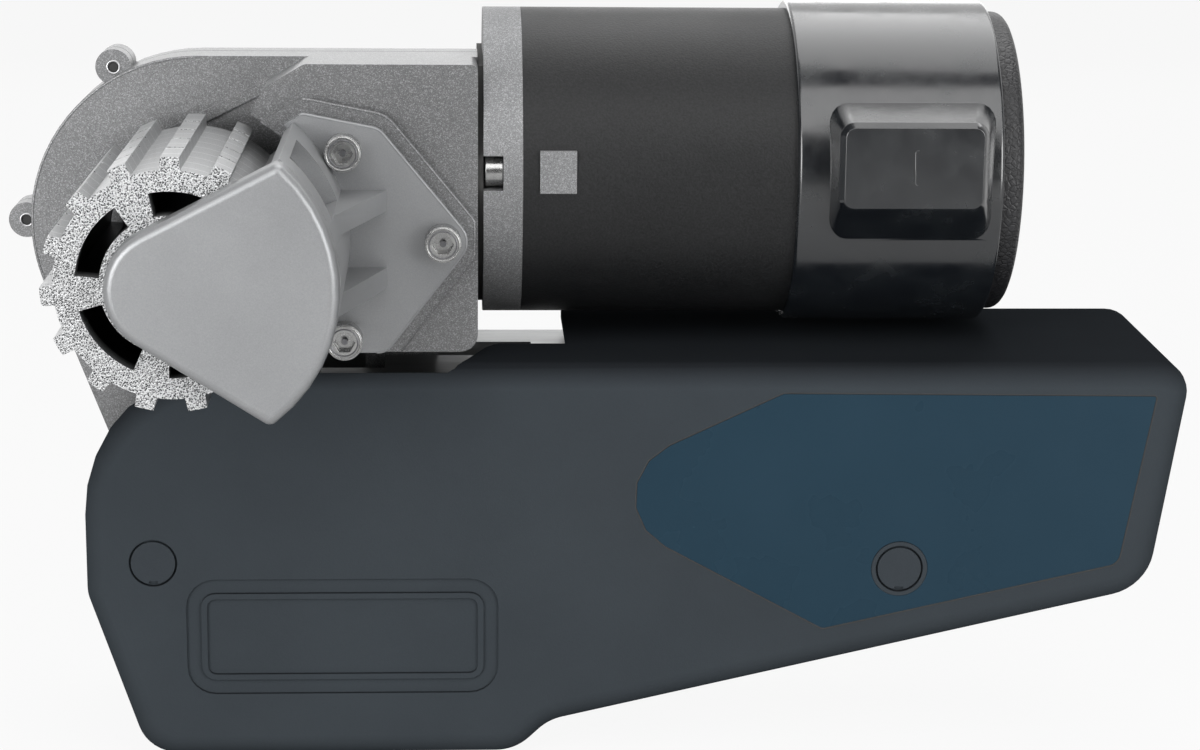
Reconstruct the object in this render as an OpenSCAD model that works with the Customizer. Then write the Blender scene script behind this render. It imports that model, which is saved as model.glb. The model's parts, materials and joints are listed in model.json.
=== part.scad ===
// Caravan motor mover: a toothed drive roller on a geared motor, carried on two parallel swing arms
// inside a moulded cover. A linear actuator swings the drive unit towards the tyre and away from it.
// The origin is the centre of the chassis bolt pattern on the rear face of the base frame.
// +X runs along the motor, away from the roller, +Y points into the chassis and +Z is up.

/* [Chassis mount] */
// Spacing of the chassis bolt holes along X
mount_dx = 70; // [62:1:78]
// Spacing of the chassis bolt holes along Z
mount_dz = 36; // [32:1:40]
// Diameter of the chassis bolt holes
mount_hole_d = 10.5; // [8.5:0.5:11]

/* [Base frame] */
// Thickness of the frame's walls and top plate
base_wall = 5; // [4:0.5:6]
// Depth of the frame from its front face to its rear face
base_depth = 64; // [62:1:70]
// Left lower pivot, measured left from the origin
pivot_left = 151.7; // [148:0.5:156]
// Lower pivots, measured down from the origin
pivot_down = 42.2; // [40:0.5:46]
// Distance between the two swing arms
arm_gap = 70; // [68:0.5:74]

/* [Swing arms] */
// Length of a swing arm between its pivots
arm_length = 64; // [60:0.5:70]
// Lean of the arms away from upright when the roller is engaged, in degrees
arm_lean = 11.5; // [10:0.5:12.5]
// Diameter of the pivot pins
pin_d = 10; // [8:0.5:11]
// Radius of the arm's lower hub
hub_r = 11; // [10:0.5:12]
// Radius of the arm's upper eyes
eye_r = 9; // [8:0.5:9.5]
// Thickness of each fork cheek
cheek = 8.5; // [6:0.5:9]
// Distance from the lower pivot to the lever pin that the actuator pushes
lever_r = 37; // [34:0.5:40]
// Diameter of the lever pin
lever_pin_d = 8; // [6:0.5:9]

/* [Drive unit] */
// Motor axis, measured forward from the chassis face
motor_forward = 24; // [22:0.5:26]
// Motor axis, measured up from the upper pivots
motor_up = 73.5; // [71:0.5:78]
// Roller axis, measured right from the left upper pivot
roller_right = 14; // [12:0.5:16]
// Roller axis, measured down from the motor axis
roller_down = 15; // [14:0.5:16]
// Thickness of the pivot lugs under the gearbox
lug_t = 12; // [10:0.5:13]
// Radius of the pivot lugs
lug_r = 10.5; // [10:0.25:11.5]

/* [Gearbox casting] */
// Radius of the gear lobe
lobe_r = 47.5; // [47.5:0.5:50]
// Wall thickness of the castings
cast_wall = 3; // [2.5:0.25:3]
// Front wall of the gear lobe, measured forward from the motor axis
lobe_front = 24; // [23.5:0.5:27]
// Front wall of the motor block, measured forward from the motor axis
block_front = 42; // [40:0.5:46]
// Back of the motor block, measured back from the motor axis
block_back = 42; // [40:0.5:46]
// Height of the block above the motor axis
block_top = 32.5; // [32:0.5:36]
// Depth of the block below the motor axis
block_bottom = 48; // [47:0.5:48.5]
// Motor face of the block, measured right from the roller axis
block_right = 78; // [77.5:0.5:82]
// Parting plane of the two castings, measured forward from the motor axis
parting = 11; // [10.5:0.25:11.5]
// Thickness of the gasket in the parting plane
gasket_t = 0.5; // [0.3:0.1:0.8]
// Thickness of the gasket between gearbox and motor
motor_gasket_t = 1.5; // [1:0.25:2]
// Height of the pad under the roller bracket's flange
pad_h = 3.5; // [2:0.5:4]
// Width of the pad's border round the flange
pad_grow = 3.5; // [3:0.5:5]

/* [Gears] */
// Module of the roller gear and its pinion
spur_module = 1.75; // [1.7:0.01:1.75]
// Teeth of the roller gear
gear_teeth = 48; // [47:1:48]
// Teeth of the pinion
pinion_teeth = 16; // [15:1:16]
// Width of the roller gear and its pinion
gear_width = 8.3; // [6:0.1:8.5]
// Module of the worm drive
worm_module = 1.5; // [1.45:0.01:1.5]
// Teeth of the worm wheel
wheel_teeth = 20; // [19:1:20]
// Width of the worm wheel
wheel_width = 12; // [9:0.5:13]
// Pitch radius of the worm
worm_pitch_r = 7; // [6.5:0.1:7]
// Length of the worm
worm_length = 28; // [24:0.5:28]

/* [Roller] */
// Radius over the roller's teeth
roller_tip_r = 32.8; // [31:0.2:33.4]
// Radius between the roller's teeth
roller_root_r = 29.5; // [28.5:0.1:30]
// Length of the roller
roller_length = 78; // [70:1:80]
// Number of teeth on the roller
roller_teeth = 15; // [12:1:18]
// Width of a roller tooth
roller_tooth_w = 4.8; // [4:0.1:5.4]
// Number of core slots in the roller
roller_slots = 5; // [4:1:6]
// Inner radius of the core slots
slot_inner_r = 17.9; // [16:0.1:18.5]
// Outer radius of the core slots
slot_outer_r = 24; // [22:0.1:25]
// Diameter of the roller shaft
roller_shaft_d = 17; // [15:0.5:18]
// Gap between the roller and its neighbours along its axis
roller_gap = 1.5; // [1:0.1:2]

/* [Roller bracket] */
// Outer radius of the curved guard wall
guard_r = 43; // [42:0.5:46]
// Thickness of the guard wall
guard_wall = 4.5; // [3.5:0.25:5]
// Angle that the guard reaches above the roller axis
guard_up = 49.5; // [44:0.5:54]
// Angle that the guard reaches below the roller axis
guard_low = 54.5; // [48:0.5:58]
// Radius of the nose around the roller axis
nose_r = 16.1; // [15:0.1:18]
// Thickness of the bracket's front plate
nose_plate = 7.5; // [7:0.25:9]
// Thickness of the bracket's mounting flange
flange_t = 4.5; // [4:0.25:6]
// Fillet on the front plate's edge
nose_fillet = 2.5; // [1.5:0.25:3]

/* [Motor] */
// Radius of the motor tube
motor_r = 44; // [43.5:0.25:46]
// Wall of the motor tube
tube_wall = 2.5; // [2:0.25:3]
// Width of the cast end frame
end_frame_w = 11; // [10:0.5:12]
// Length of the motor tube
tube_length = 131.5; // [128:0.5:140]
// Height of the terminal sleeve's wall over the tube
sleeve_wall = 2.4; // [1.8:0.2:2.6]
// Length of the terminal sleeve
sleeve_length = 57.5; // [55:0.5:62]
// Radius of the motor shaft
motor_shaft_r = 5; // [4.5:0.25:5.5]
// Thickness of the end cap's rim beyond the tube
cap_rim = 8.4; // [7:0.1:9]

/* [Cover] */
// Wall of the cover
cover_wall = 3; // [2.5:0.25:3.5]
// Front face of the cover, measured forward from the base frame's front face
cover_depth = 12; // [11.5:0.5:16]
// Fillet round the cover's front edge
cover_fillet = 7; // [6:0.25:7.5]
// Draft that widens the cover from its front edge to its open back
cover_draft = 0.7; // [0.5:0.1:2]
// Right end of the cover, measured from the origin
cover_right = 129.4; // [126:0.2:132]
// Left side of the cover, measured left from the left lower pivot
cover_left_gap = 30.9; // [30:0.1:33]
// Bottom of the cover, measured down from the lower pivots
cover_foot = 28.2; // [27:0.2:30]
// Clear height between the motor sleeve and the cover
sleeve_gap = 3.6; // [3:0.1:5]
// Gap between the cover's outside and the base frame's edge
base_inset = 6; // [5.5:0.1:6.5]
// Depth of the label recess and the blank recess
recess_depth = 0.8; // [0.5:0.1:1.2]
// Radius of the screw plugs
plug_r = 6.2; // [5.5:0.1:6.5]

/* [Actuator] */
// Diameter of the actuator rod
rod_d = 12; // [10:0.5:13]
// Outer radius of the actuator tube
act_tube_r = 13; // [11:0.25:14]
// Radius of the actuator's gearhead
act_head_r = 14.5; // [13.5:0.25:15]
// Length of the actuator tube
act_tube_length = 64; // [58:1:70]
// Length of the actuator's motor
act_motor_length = 44; // [36:1:46]

/* [Fits] */
// Radial clearance of a pin that turns in its bush
run = 0.05; // [0.02:0.01:0.08]
// Gap between moving faces that don't touch
gap = 0.5; // [0.3:0.1:0.6]

/* [Hidden] */
$fn = 64;
eps = 0.01;

// Radii of the fits that several pieces share
pin_r = pin_d / 2;
bush_wall = 1.5;
bush_r = pin_r + run + bush_wall;
lever_pin_r = lever_pin_d / 2;
roller_shaft_r = roller_shaft_d / 2;

// Lower pivots [x, z], upper pivots at rest and the lever pin
low_left = [-pivot_left, -pivot_down];
low_right = low_left + [arm_gap, 0];
lean_dir = [-sin(arm_lean), cos(arm_lean)];
top_left = low_left + arm_length * lean_dir;
lever_at = low_right + lever_r * lean_dir;
lever_rise = lever_r * (1 - cos(arm_lean));
rod_travel = 2 * lever_r * sin(arm_lean);
arm_travel = 2 * arm_length * sin(arm_lean);

// Drive frame: x from the roller axis, y and z from the motor axis
drive_at = [top_left[0] + roller_right, -motor_forward, top_left[1] + motor_up];
roller_at = [0, -roller_down];
lug_left = [-roller_right, -motor_up];
lug_right = lug_left + [arm_gap, 0];

// Fork and lug stations along Y, about the arms' middle plane
mid_y = -2;
lug_y0 = mid_y - lug_t / 2;
lug_y1 = mid_y + lug_t / 2;
fork_y0 = lug_y0 - gap - cheek;
fork_y1 = lug_y1 + gap + cheek;

// Gear train
gear_r = spur_module * gear_teeth / 2;
pinion_r = spur_module * pinion_teeth / 2;
wheel_r = worm_module * wheel_teeth / 2;
worm_tip_r = worm_pitch_r + worm_module;
worm_root_r = worm_pitch_r - 1.2 * worm_module;
worm_lead = PI * worm_module;
lay_z = -(worm_pitch_r + wheel_r);
lay_at = [sqrt(pow(gear_r + pinion_r, 2) - pow(lay_z - roller_at[1], 2)), lay_z];
gear_y0 = -lobe_front + cast_wall + 0.7;
gear_y1 = gear_y0 + gear_width;
lay_shaft_r = 5;
lay_bearing = [9.5, 7];
lay_front_y = -block_front + cast_wall + 2;
lay_back_y = block_back - 24;
backlash = 0.16;
pressure = 20;

// Roller and its shaft
roller_y1 = -lobe_front - 10;
roller_y0 = roller_y1 - roller_length;
nose_y1 = roller_y0 - roller_gap;
nose_y0 = nose_y1 - nose_plate;
roller_bearing = [17.5, 10];
seal_t = 2.2;
boss_y0 = roller_y1 + 0.8;
front_bearing_y = boss_y0 + seal_t;
rear_bearing_y = -parting + 1;
journal_r = 6.5;
outer_bush_r = 9;
journal_depth = nose_plate - 2;
key = [5, 5, 30];

// Motor stations along X
frame_x0 = block_right + motor_gasket_t;
tube_x0 = frame_x0 + end_frame_w;
tube_x1 = tube_x0 + tube_length;
cap_x1 = tube_x1 + cap_rim;
sleeve_x1 = tube_x1 + 2;
sleeve_x0 = sleeve_x1 - sleeve_length;
sleeve_r = motor_r + sleeve_wall;
tube_in_r = motor_r - tube_wall;
spigot_w = 5;
spigot_hole_r = motor_r - 16;
bolt_r = 2.5;
bolt_ring_r = motor_r - 5.5;
bolt_lift = 4;
bolt_head = [4.3, 5];
bolt_pocket = [5.5, 9.5, 10];
tongue = [14.8, 8, 11.9];
frame_screw_r = block_front - 6;
frame_screw_angle = 30;
motor_bearing = [13, 8];
front_bearing_x = frame_x0 + 1;
rear_bearing_x = tube_x1 - motor_bearing[1] - 3;
worm_mid = lay_at[0];
worm_bearing = [8, 5];
worm_bearing_x = worm_mid - worm_length / 2 - 7.5;
block_left = worm_bearing_x - 4;
worm_shaft_r = 3.5;
magnet_x0 = tube_x0 + 22;
magnet_length = tube_length - 59.5;
magnet_r = tube_in_r - 8.5;
core_r = magnet_r - 1;
core_x0 = magnet_x0 + 2;
core_length = magnet_length - 6;
core_slots = 12;
winding_r = core_r - 7;
winding_w = 8;
comm_r = 14;
comm_x0 = core_x0 + core_length + winding_w + 2;
comm_length = 16;
brush_plate_t = 3;
brush_plate_x0 = comm_x0 + comm_length - 3;
brush = [7, 8, 16];

// Cover outline [x, z, radius], anticlockwise from the upper left, seen from the front
cover_top = drive_at[2] - sleeve_r - sleeve_gap;
cover_bottom = low_left[1] - cover_foot;
cover_left = low_left[0] - cover_left_gap;
foot_end = low_right[0] + 20;
cover_corners = [
    [cover_left, cover_top, 44],
    [cover_left, low_left[1] + 19.8, 10],
    [cover_left + 16.1, cover_bottom, 12],
    [foot_end, cover_bottom, 14],
    [foot_end + 9.7, cover_bottom + 9.1, 14],
    [cover_right - 9.9, low_left[1] + 20, 15],
    [cover_right, cover_top, 8.6]
];
cover_y1 = -0.5;
cover_y0 = cover_y1 - base_depth - cover_depth;
base_top = cover_top - base_inset;
base_front = -base_depth;

// Screw points of the cover, plugs over them
plug_left = [low_left[0] - 11.6, low_left[1] + 30];
plug_right = [cover_right - 82.5, cover_top - 58.8];
collar_r = plug_r + 1.8;
cover_boss_r = 9;
cover_screw_r = 3;
cover_head = [5, 5];
plug_seat = cover_y0 + 1.2;
plug_skirt_r = plug_r - 0.4;
plug_depth = 3.6;
cover_head_y = base_front - 3;

// Label outline and blank recess outline [x, z, radius]
label_corners = [
    [cover_right - 178.2, cover_top - 36.4, 16.6],
    [cover_right - 104, cover_top - 76.7, 2.5],
    [cover_right - 19.7, cover_top - 57.8, 4],
    [cover_right - 11.1, cover_top - 8.4, 1],
    [cover_right - 116.7, cover_top - 7.5, 1.5]
];
blank_corners = [
    [cover_left + 28.3, cover_bottom + 19.6, 8],
    [foot_end - 5.1, cover_bottom + 19.6, 8],
    [foot_end - 5.1, cover_bottom + 53.2, 8],
    [cover_left + 28.3, cover_bottom + 53.2, 8]
];
label_t = recess_depth - 0.2;

// Cut-out in the cover's top for the gearbox [x, y], and the drop of the left wall
cut_right = drive_at[0] + block_right + arm_travel;
cut_far = cut_right - 19;
cut_near = cut_far - 15;
cut_back_y = -47;
cut_front_y = cover_y0 + 2.3;
cut_side_y = cover_y0 + cover_fillet + 3;
cut_ramp = [cover_left + 22, cover_left + 8];
cut_drop = 32;
cut_left = cover_left - cover_draft - 1;

// Actuator stations along X
rod_z = low_right[1] + lever_r - lever_rise / 2;
rod_r = rod_d / 2;
act_y = -motor_forward + mid_y;
rod_eye_t = 7;
rod_eye_r = lever_pin_r + 4;
rod_length = 84;
act_x0 = lever_at[0] + rod_travel + 30;
act_head_x0 = act_x0 + act_tube_length;
act_head_length = 16;
act_motor_x0 = act_head_x0 + act_head_length;
saddle_t = 8;
saddle_inset = [22, 14];
saddle_rim = [3, 4];
rod_guide = 14;
shield_depth = 0.6;
lug_neck_r = lug_r;

// Screws: [shank radius, head radius, head height]
m4 = [2, 3.5, 4];
m5 = [2.5, 4.25, 5];
m6 = [3, 5, 6];
bracket_points = [[41.3, 9.9], [68.4, -15], [41.3, -42.3]];
lobe_screw_angles = [119, 180, 290];
lobe_screw_ring = lobe_r + 2.2;
lobe_lug_r = 5;
block_points = [
    [lay_at[0] + 6.5, block_top - 12], [lay_at[0] + 10.5, 6.5 - block_bottom],
    [block_left + 9, block_top - 11]
];
boss_r = 4.5;

// Outline helpers

function unit(v) = v / norm(v);
function polar(c, r, a) = [c[0] + r * cos(a), c[1] + r * sin(a)];
function arc(c, r, a0, a1, steps) = [for (i = [0:steps]) polar(c, r, a0 + (a1 - a0) * i / steps)];
function turn(v) = [-v[1], v[0]];
function xz(c) = [c[0], c[1]];
function wrap(a) = a > 180 ? a - 360 : (a < -180 ? a + 360 : a);
function angle_of(v) = atan2(v[1], v[0]);

// Arc that rounds corner c between its neighbours p and n
function corner_arc(p, c, n, r, steps) =
    let (u = unit(p - c), v = unit(n - c), half = acos(u * v) / 2)
    let (centre = c + unit(u + v) * r / sin(half), t = r / tan(half))
    let (a0 = angle_of(c + u * t - centre), a1 = a0 + wrap(angle_of(c + v * t - centre) - a0))
    arc(centre, r, a0, a1, steps);

// Closed outline from corners [x, z, radius]
function rounded(corners, steps = 8) = [
    for (i = [0:len(corners) - 1])
        let (k = len(corners), p = corners[(i + k - 1) % k], c = corners[i], n = corners[(i + 1) % k])
        each corner_arc(xz(p), xz(c), xz(n), c[2], steps)
];

// Outline moved inwards by d, with as many points
function inset(pts, d) = [
    for (i = [0:len(pts) - 1])
        let (k = len(pts), c = pts[i])
        let (n1 = turn(unit(c - pts[(i + k - 1) % k])), n2 = turn(unit(pts[(i + 1) % k] - c)))
        c + d * (n1 + n2) / (1 + n1 * n2)
];

// Outward normal of the straight run from circle a to circle b [x, z, radius]
function belt_angle(a, b) =
    let (d = xz(b) - xz(a))
    angle_of(d) - acos(max(-1, min(1, (a[2] - b[2]) / norm(d))));

// Outline without points that repeat the one before
function distinct(pts) = [
    for (i = [0:len(pts) - 1])
        if (norm(pts[i] - pts[(i + len(pts) - 1) % len(pts)]) > eps) pts[i]
];

// Outline of a belt drawn tight, anticlockwise, round circles [x, z, radius]
function belt(circles, steps = 10) = distinct([
    for (i = [0:len(circles) - 1])
        let (k = len(circles), p = circles[(i + k - 1) % k], c = circles[i], n = circles[(i + 1) % k])
        let (a0 = belt_angle(p, c), a1 = belt_angle(c, n), sweep = (a1 - a0 + 720) % 360)
        each arc(xz(c), c[2], a0, a0 + sweep, steps)
]);

// Involute gear outline
function inv(a) = tan(a) * 180 / PI - a;
function flank_angle(r, base, half) = half + inv(pressure) - inv(acos(min(1, base / max(r, base))));
function gear_outline(teeth, mod, phase) =
    let (pitch = mod * teeth / 2, base = pitch * cos(pressure), tip = pitch + mod, root = pitch - 1.25 * mod)
    let (
        half = 90 / teeth - backlash / 4 / pitch * 180 / PI,
        radii = [for (i = [0:4]) root + (tip - root) * i / 4]
    )
    [
        for (t = [0:teeth - 1])
            let (a = phase + 360 * t / teeth)
            each concat(
                [for (r = radii) polar([0, 0], r, a - flank_angle(r, base, half))],
                [for (i = [4:-1:0]) polar([0, 0], radii[i], a + flank_angle(radii[i], base, half))]
            )
    ];

// Placing and extruding helpers

module on_drive() { translate(drive_at) children(); }
module at(p) { translate([p[0], 0, p[1]]) children(); }
module at_points(points) { for (p = points) at(p) children(); }
module upright(p) { at(p) rotate([0, -arm_lean, 0]) children(); }

// Flat outline [x, z] extruded from y0 to y1
module slab(pts, y0, y1) { translate([0, y1, 0]) rotate([90, 0, 0]) linear_extrude(y1 - y0) polygon(pts); }
module rod_y(r, y0, y1) { translate([0, y0, 0]) rotate([-90, 0, 0]) cylinder(r = r, h = y1 - y0); }
module rod_x(r, x0, x1) { translate([x0, 0, 0]) rotate([0, 90, 0]) cylinder(r = r, h = x1 - x0); }
module ring_y(ro, ri, y0, y1) {
    difference() {
        rod_y(ro, y0, y1);
        rod_y(ri, y0 - 1, y1 + 1);
    }
}
module ring_x(ro, ri, x0, x1) {
    difference() {
        rod_x(ro, x0, x1);
        rod_x(ri, x0 - 1, x1 + 1);
    }
}
module block(p0, p1) { translate(p0) cube(p1 - p0); }
function sector(ri, ro, a0, a1, steps = 10) =
    concat(arc([0, 0], ro, a0, a1, steps), arc([0, 0], ri, a1, a0, steps));

// Solid lofted through rings [y, outline], front to back; a hoop joins its last ring to its first
module loft(rings, hoop = false) {
    k = len(rings[0][1]);
    last = len(rings) - 1;
    points = [for (ring = rings) each [for (p = ring[1]) [p[0], ring[0], p[1]]]];
    sides = [
        for (j = [0:hoop ? last : last - 1], i = [0:k - 1])
            let (a = j * k, b = ((j + 1) % (last + 1)) * k, n = (i + 1) % k)
            [a + i, a + n, b + n, b + i]
    ];
    front = [for (i = [k - 1:-1:0]) i];
    back = [for (i = [0:k - 1]) last * k + i];
    polyhedron(points, hoop ? sides : concat(sides, [front], [back]));
}

// Rings of an edge that is rounded from a front face at y0 out to the full outline
function edge_rings(pts, y0, fillet, steps = 5) = [
    for (i = [steps:-1:0])
        let (a = 90 * i / steps)
        [y0 + fillet * (1 - sin(a)), inset(pts, fillet * (1 - cos(a)))]
];

// Outline extruded from y0 to y1 with a rounded front edge
module pillow(pts, y0, y1, fillet) {
    loft(concat(edge_rings(pts, y0, fillet), [[y1, pts]]));
}

// Open-backed shell that widens by its draft to the back, with a rounded edge round one flat front slab
module shell(pts, y0, y1, fillet, wall, draft) {
    cove = 0.7 * wall;
    rim = [
        [y1, inset(pts, -draft)], [y1, inset(pts, wall - draft)],
        [y0 + wall + cove, inset(pts, wall)], [y0 + wall, inset(pts, wall + cove)],
        [y0 + wall, inset(pts, fillet + 1)]
    ];
    loft(concat(edge_rings(pts, y0, fillet), rim), hoop = true);
    slab(inset(pts, fillet), y0, y0 + wall);
}

// Socket-head screw along Y with its head's top at y0 and its tip at y1
module socket_screw(size, y0, y1) {
    difference() {
        union() {
            rod_y(size[1], y0, y0 + size[2]);
            rod_y(size[0], y0 + size[2] - eps, y1);
        }
        translate([0, y0 - 1, 0]) rotate([-90, 0, 0]) cylinder(r = size[0], h = 1 + size[2] / 2, $fn = 6);
    }
}

// Ball bearing along Y with recessed shields
module bearing(ro, ri, width) {
    shield = [ri + 0.3 * (ro - ri), ri + 0.75 * (ro - ri)];
    difference() {
        ring_y(ro, ri, 0, width);
        for (y = [-1, width - shield_depth]) ring_y(shield[1], shield[0], y, y + 1 + shield_depth);
    }
}
module along_x(x0) { translate([x0, 0, 0]) rotate([0, 0, -90]) children(); }

// Base frame

base_outline = inset(rounded(cover_corners), base_inset);
plate_level = base_top - drive_at[2] - roller_at[1];
notch_right = drive_at[0] + arm_travel + sqrt(pow(lobe_r, 2) - pow(plate_level, 2)) + 2;
slot_right = drive_at[0] + lug_right[0] + lug_neck_r + arm_travel + 2;
plate_left = drive_at[0] + 33.5;
plate_right = cover_right - base_inset - 3;
mount_points = [for (x = [-1, 1], z = [-1, 1]) [x * mount_dx / 2, z * mount_dz / 2]];

module base_frame() {
    color("silver") difference() {
        union() {
            slab(base_outline, base_front, base_front + base_wall);
            slab(base_outline, -base_wall, 0);
            block([plate_left, base_front, base_top - base_wall], [plate_right, 0, base_top]);
        }
        block([plate_left - 1, -motor_forward - lobe_front - 3, base_top - base_wall - 1],
            [notch_right, -motor_forward + 10, base_top + 1]);
        block([notch_right - 1, -motor_forward + lug_y0 - 3, base_top - base_wall - 1],
            [slot_right, -motor_forward + lug_y1 + 3, base_top + 1]);
        at_points([low_left, low_right]) rod_y(pin_r, base_front - 1, 1);
        at_points([plug_left, plug_right]) rod_y(cover_screw_r, base_front - 1, base_front + base_wall + 1);
        at_points(mount_points) rod_y(mount_hole_d / 2, -base_wall - 1, 1);
    }
}

// Cover and what is on it

cover_outline = rounded(cover_corners);
label_outline = rounded(label_corners, 5);
blank_outline = rounded(blank_corners, 6);
cut_steps = 8;
cut_outline = concat(
    [[cut_right, 1], [cut_right, cut_back_y]],
    [
        for (i = [0:cut_steps])
            let (s = (1 - cos(180 * i / cut_steps)) / 2)
            [cut_far + (cut_near - cut_far) * i / cut_steps, cut_back_y + (cut_front_y - cut_back_y) * s]
    ],
    [[cut_ramp[0], cut_front_y], [cut_ramp[1], cut_side_y], [cut_left, cut_side_y], [cut_left, 1]]
);
blank_border = [4, 5.8];

module cover() {
    color("#3f474e") difference() {
        union() {
            shell(cover_outline, cover_y0, cover_y1, cover_fillet, cover_wall, cover_draft);
            at_points([plug_left, plug_right]) rod_y(cover_boss_r, cover_y0 + cover_wall - 1, base_front);
        }
        translate([0, 0, cover_top - cut_drop])
            linear_extrude(cut_drop + cover_draft + 1) polygon(cut_outline);
        at_points([plug_left, plug_right]) {
            rod_y(plug_r + gap, cover_y0 - 1, plug_seat);
            rod_y(plug_skirt_r, cover_y0 - 1, cover_head_y);
            rod_y(cover_screw_r + 0.3, cover_y0 - 1, base_front + 1);
        }
        difference() {
            slab(label_outline, cover_y0 - 1, cover_y0 + recess_depth);
            at(plug_right) rod_y(collar_r, cover_y0 - 2, cover_y0 + 2);
        }
        difference() {
            slab(blank_outline, cover_y0 - 1, cover_y0 + recess_depth);
            difference() {
                slab(inset(blank_outline, blank_border[0]), cover_y0 - 2, cover_y0 + 2);
                slab(inset(blank_outline, blank_border[1]), cover_y0 - 3, cover_y0 + 3);
            }
        }
    }
}

module cover_label() {
    color("#293f50") difference() {
        slab(label_outline, cover_y0 + recess_depth - label_t, cover_y0 + recess_depth);
        at(plug_right) rod_y(collar_r, cover_y0 - 2, cover_y0 + 2);
    }
}

module cover_plugs() {
    color("#343b41") at_points([plug_left, plug_right]) difference() {
        union() {
            rod_y(plug_r, cover_y0, plug_seat);
            rod_y(plug_skirt_r, cover_y0 + eps, cover_y0 + plug_depth);
        }
        rod_y(plug_skirt_r - 1.5, cover_y0 + 2, cover_y0 + plug_depth + 1);
        block([-1.2, cover_y0 - 1, -plug_r - 1], [1.2, cover_y0 + 0.8, -plug_r + 0.9]);
    }
}

module cover_screws() {
    color("lightgray") at_points([plug_left, plug_right])
        socket_screw([cover_screw_r, cover_head[0], cover_head[1]], cover_head_y - cover_head[1],
            base_front + base_wall + 3);
}

// Lower pivots

clip_t = 1.5;
clip_y = base_front - clip_t;
clip_depth = 1;
arm_y0 = -motor_forward + fork_y0;
arm_y1 = -motor_forward + fork_y1;

module lower_pivot_pins() {
    color("gainsboro") at_points([low_left, low_right]) difference() {
        rod_y(pin_r, clip_y - 2, -0.5);
        ring_y(pin_r + 1, pin_r - clip_depth, clip_y, clip_y + clip_t);
    }
}

module pin_clips() {
    color("dimgray") at_points([low_left, low_right]) difference() {
        ring_y(pin_r + 3.5, pin_r - clip_depth, clip_y, clip_y + clip_t);
        block([-pin_r * 0.6, clip_y - 1, 0], [pin_r * 0.6, clip_y + clip_t + 1, pin_r + 5]);
    }
}

module pivot_spacers() {
    color("darkgray") at_points([low_left, low_right]) {
        ring_y(pin_r + 3, pin_r, base_front + base_wall, arm_y0 - gap);
        ring_y(pin_r + 3, pin_r, arm_y1 + gap, -base_wall);
    }
}

// Swing arms, drawn upright on their lower pivots

module on_arm(p) { upright(p) translate([0, -motor_forward, 0]) children(); }

module swing_arm(p, yoke) {
    on_arm(p) difference() {
        slab(belt([[0, 0, hub_r], [0, arm_length, eye_r]]), fork_y0, fork_y1);
        block([-hub_r - 5, lug_y0 - gap, yoke], [hub_r + 5, lug_y1 + gap, arm_length + 2 * eye_r]);
        rod_y(bush_r, fork_y0 - 1, fork_y1 + 1);
        at([0, arm_length]) rod_y(pin_r, fork_y0 - 1, fork_y1 + 1);
        children();
    }
}

module arm_bushes(p) {
    length = (fork_y1 - fork_y0) / 2 - 2;
    on_arm(p) for (y = [fork_y0, fork_y1 - length]) ring_y(bush_r, pin_r + run, y, y + length);
}

// Upper pivot pin, from y0 to a flat head behind the fork
module upper_pin(p, y0) {
    on_arm(p) at([0, arm_length]) {
        rod_y(pin_r, y0, fork_y1);
        rod_y(pin_r + 2, fork_y1, fork_y1 + 2.5);
    }
}

left_yoke = arm_length - lug_r - 7.5;
right_yoke = lever_r - rod_eye_r - 3;
pocket_depth = 3;

module swing_arm_left() {
    color("slategray") swing_arm(low_left, left_yoke) {
        for (y = [fork_y0 - 1, fork_y1 - pocket_depth])
            slab(belt([[0, hub_r + 8, 4], [0, left_yoke - 5, 3.5]]), y, y + pocket_depth + 1);
    }
}
module arm_bushes_left() { color("peru") arm_bushes(low_left); }
module upper_pin_left() { color("gainsboro") upper_pin(low_left, -lobe_front); }

module swing_arm_right() {
    color("slategray") swing_arm(low_right, right_yoke) {
        at([0, lever_r]) rod_y(lever_pin_r, fork_y0 - 1, fork_y1 + 1);
    }
}
module arm_bushes_right() { color("peru") arm_bushes(low_right); }
module upper_pin_right() { color("gainsboro") upper_pin(low_right, fork_y0); }
module lever_pin() {
    color("gainsboro") on_arm(low_right) at([0, lever_r]) rod_y(lever_pin_r, fork_y0, fork_y1);
}

// Actuator

module on_actuator() { translate([0, act_y, rod_z]) children(); }

module actuator_rod() {
    color("whitesmoke") on_actuator() difference() {
        union() {
            at([lever_at[0], 0]) rod_y(rod_eye_r, -rod_eye_t / 2, rod_eye_t / 2);
            rod_x(rod_r, lever_at[0] + rod_eye_r - 1, lever_at[0] + rod_length);
        }
        for (z = [-1, 1]) at([lever_at[0], z * lever_rise / 2])
            rod_y(lever_pin_r + 2 * run, -rod_eye_t, rod_eye_t);
        block([lever_at[0] - lever_pin_r - 2 * run, -rod_eye_t, -lever_rise / 2],
            [lever_at[0] + lever_pin_r + 2 * run, rod_eye_t, lever_rise / 2]);
        for (y = [rod_eye_t / 2, -rod_eye_t / 2 - rod_r])
            block([lever_at[0] - rod_eye_r, y, -rod_eye_r - 1],
                [lever_at[0] + rod_eye_r + 1, y + rod_r, rod_eye_r + 1]);
    }
}

module actuator_tube() {
    color("silver") on_actuator() difference() {
        rod_x(act_tube_r, act_x0, act_head_x0);
        rod_x(rod_r + run, act_x0 - 1, act_x0 + rod_guide + 1);
        rod_x(rod_r + 2, act_x0 + rod_guide, act_head_x0 + 1);
    }
}

module actuator_gearhead() {
    color("#4a4f55") on_actuator() {
        rod_x(act_head_r, act_head_x0, act_motor_x0);
    }
}

module actuator_motor() {
    color("#2f3237") on_actuator() {
        rod_x(act_tube_r - 1, act_motor_x0, act_motor_x0 + act_motor_length);
        rod_x(act_tube_r / 2, act_motor_x0 + act_motor_length - eps, act_motor_x0 + act_motor_length + 3);
    }
}

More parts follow.
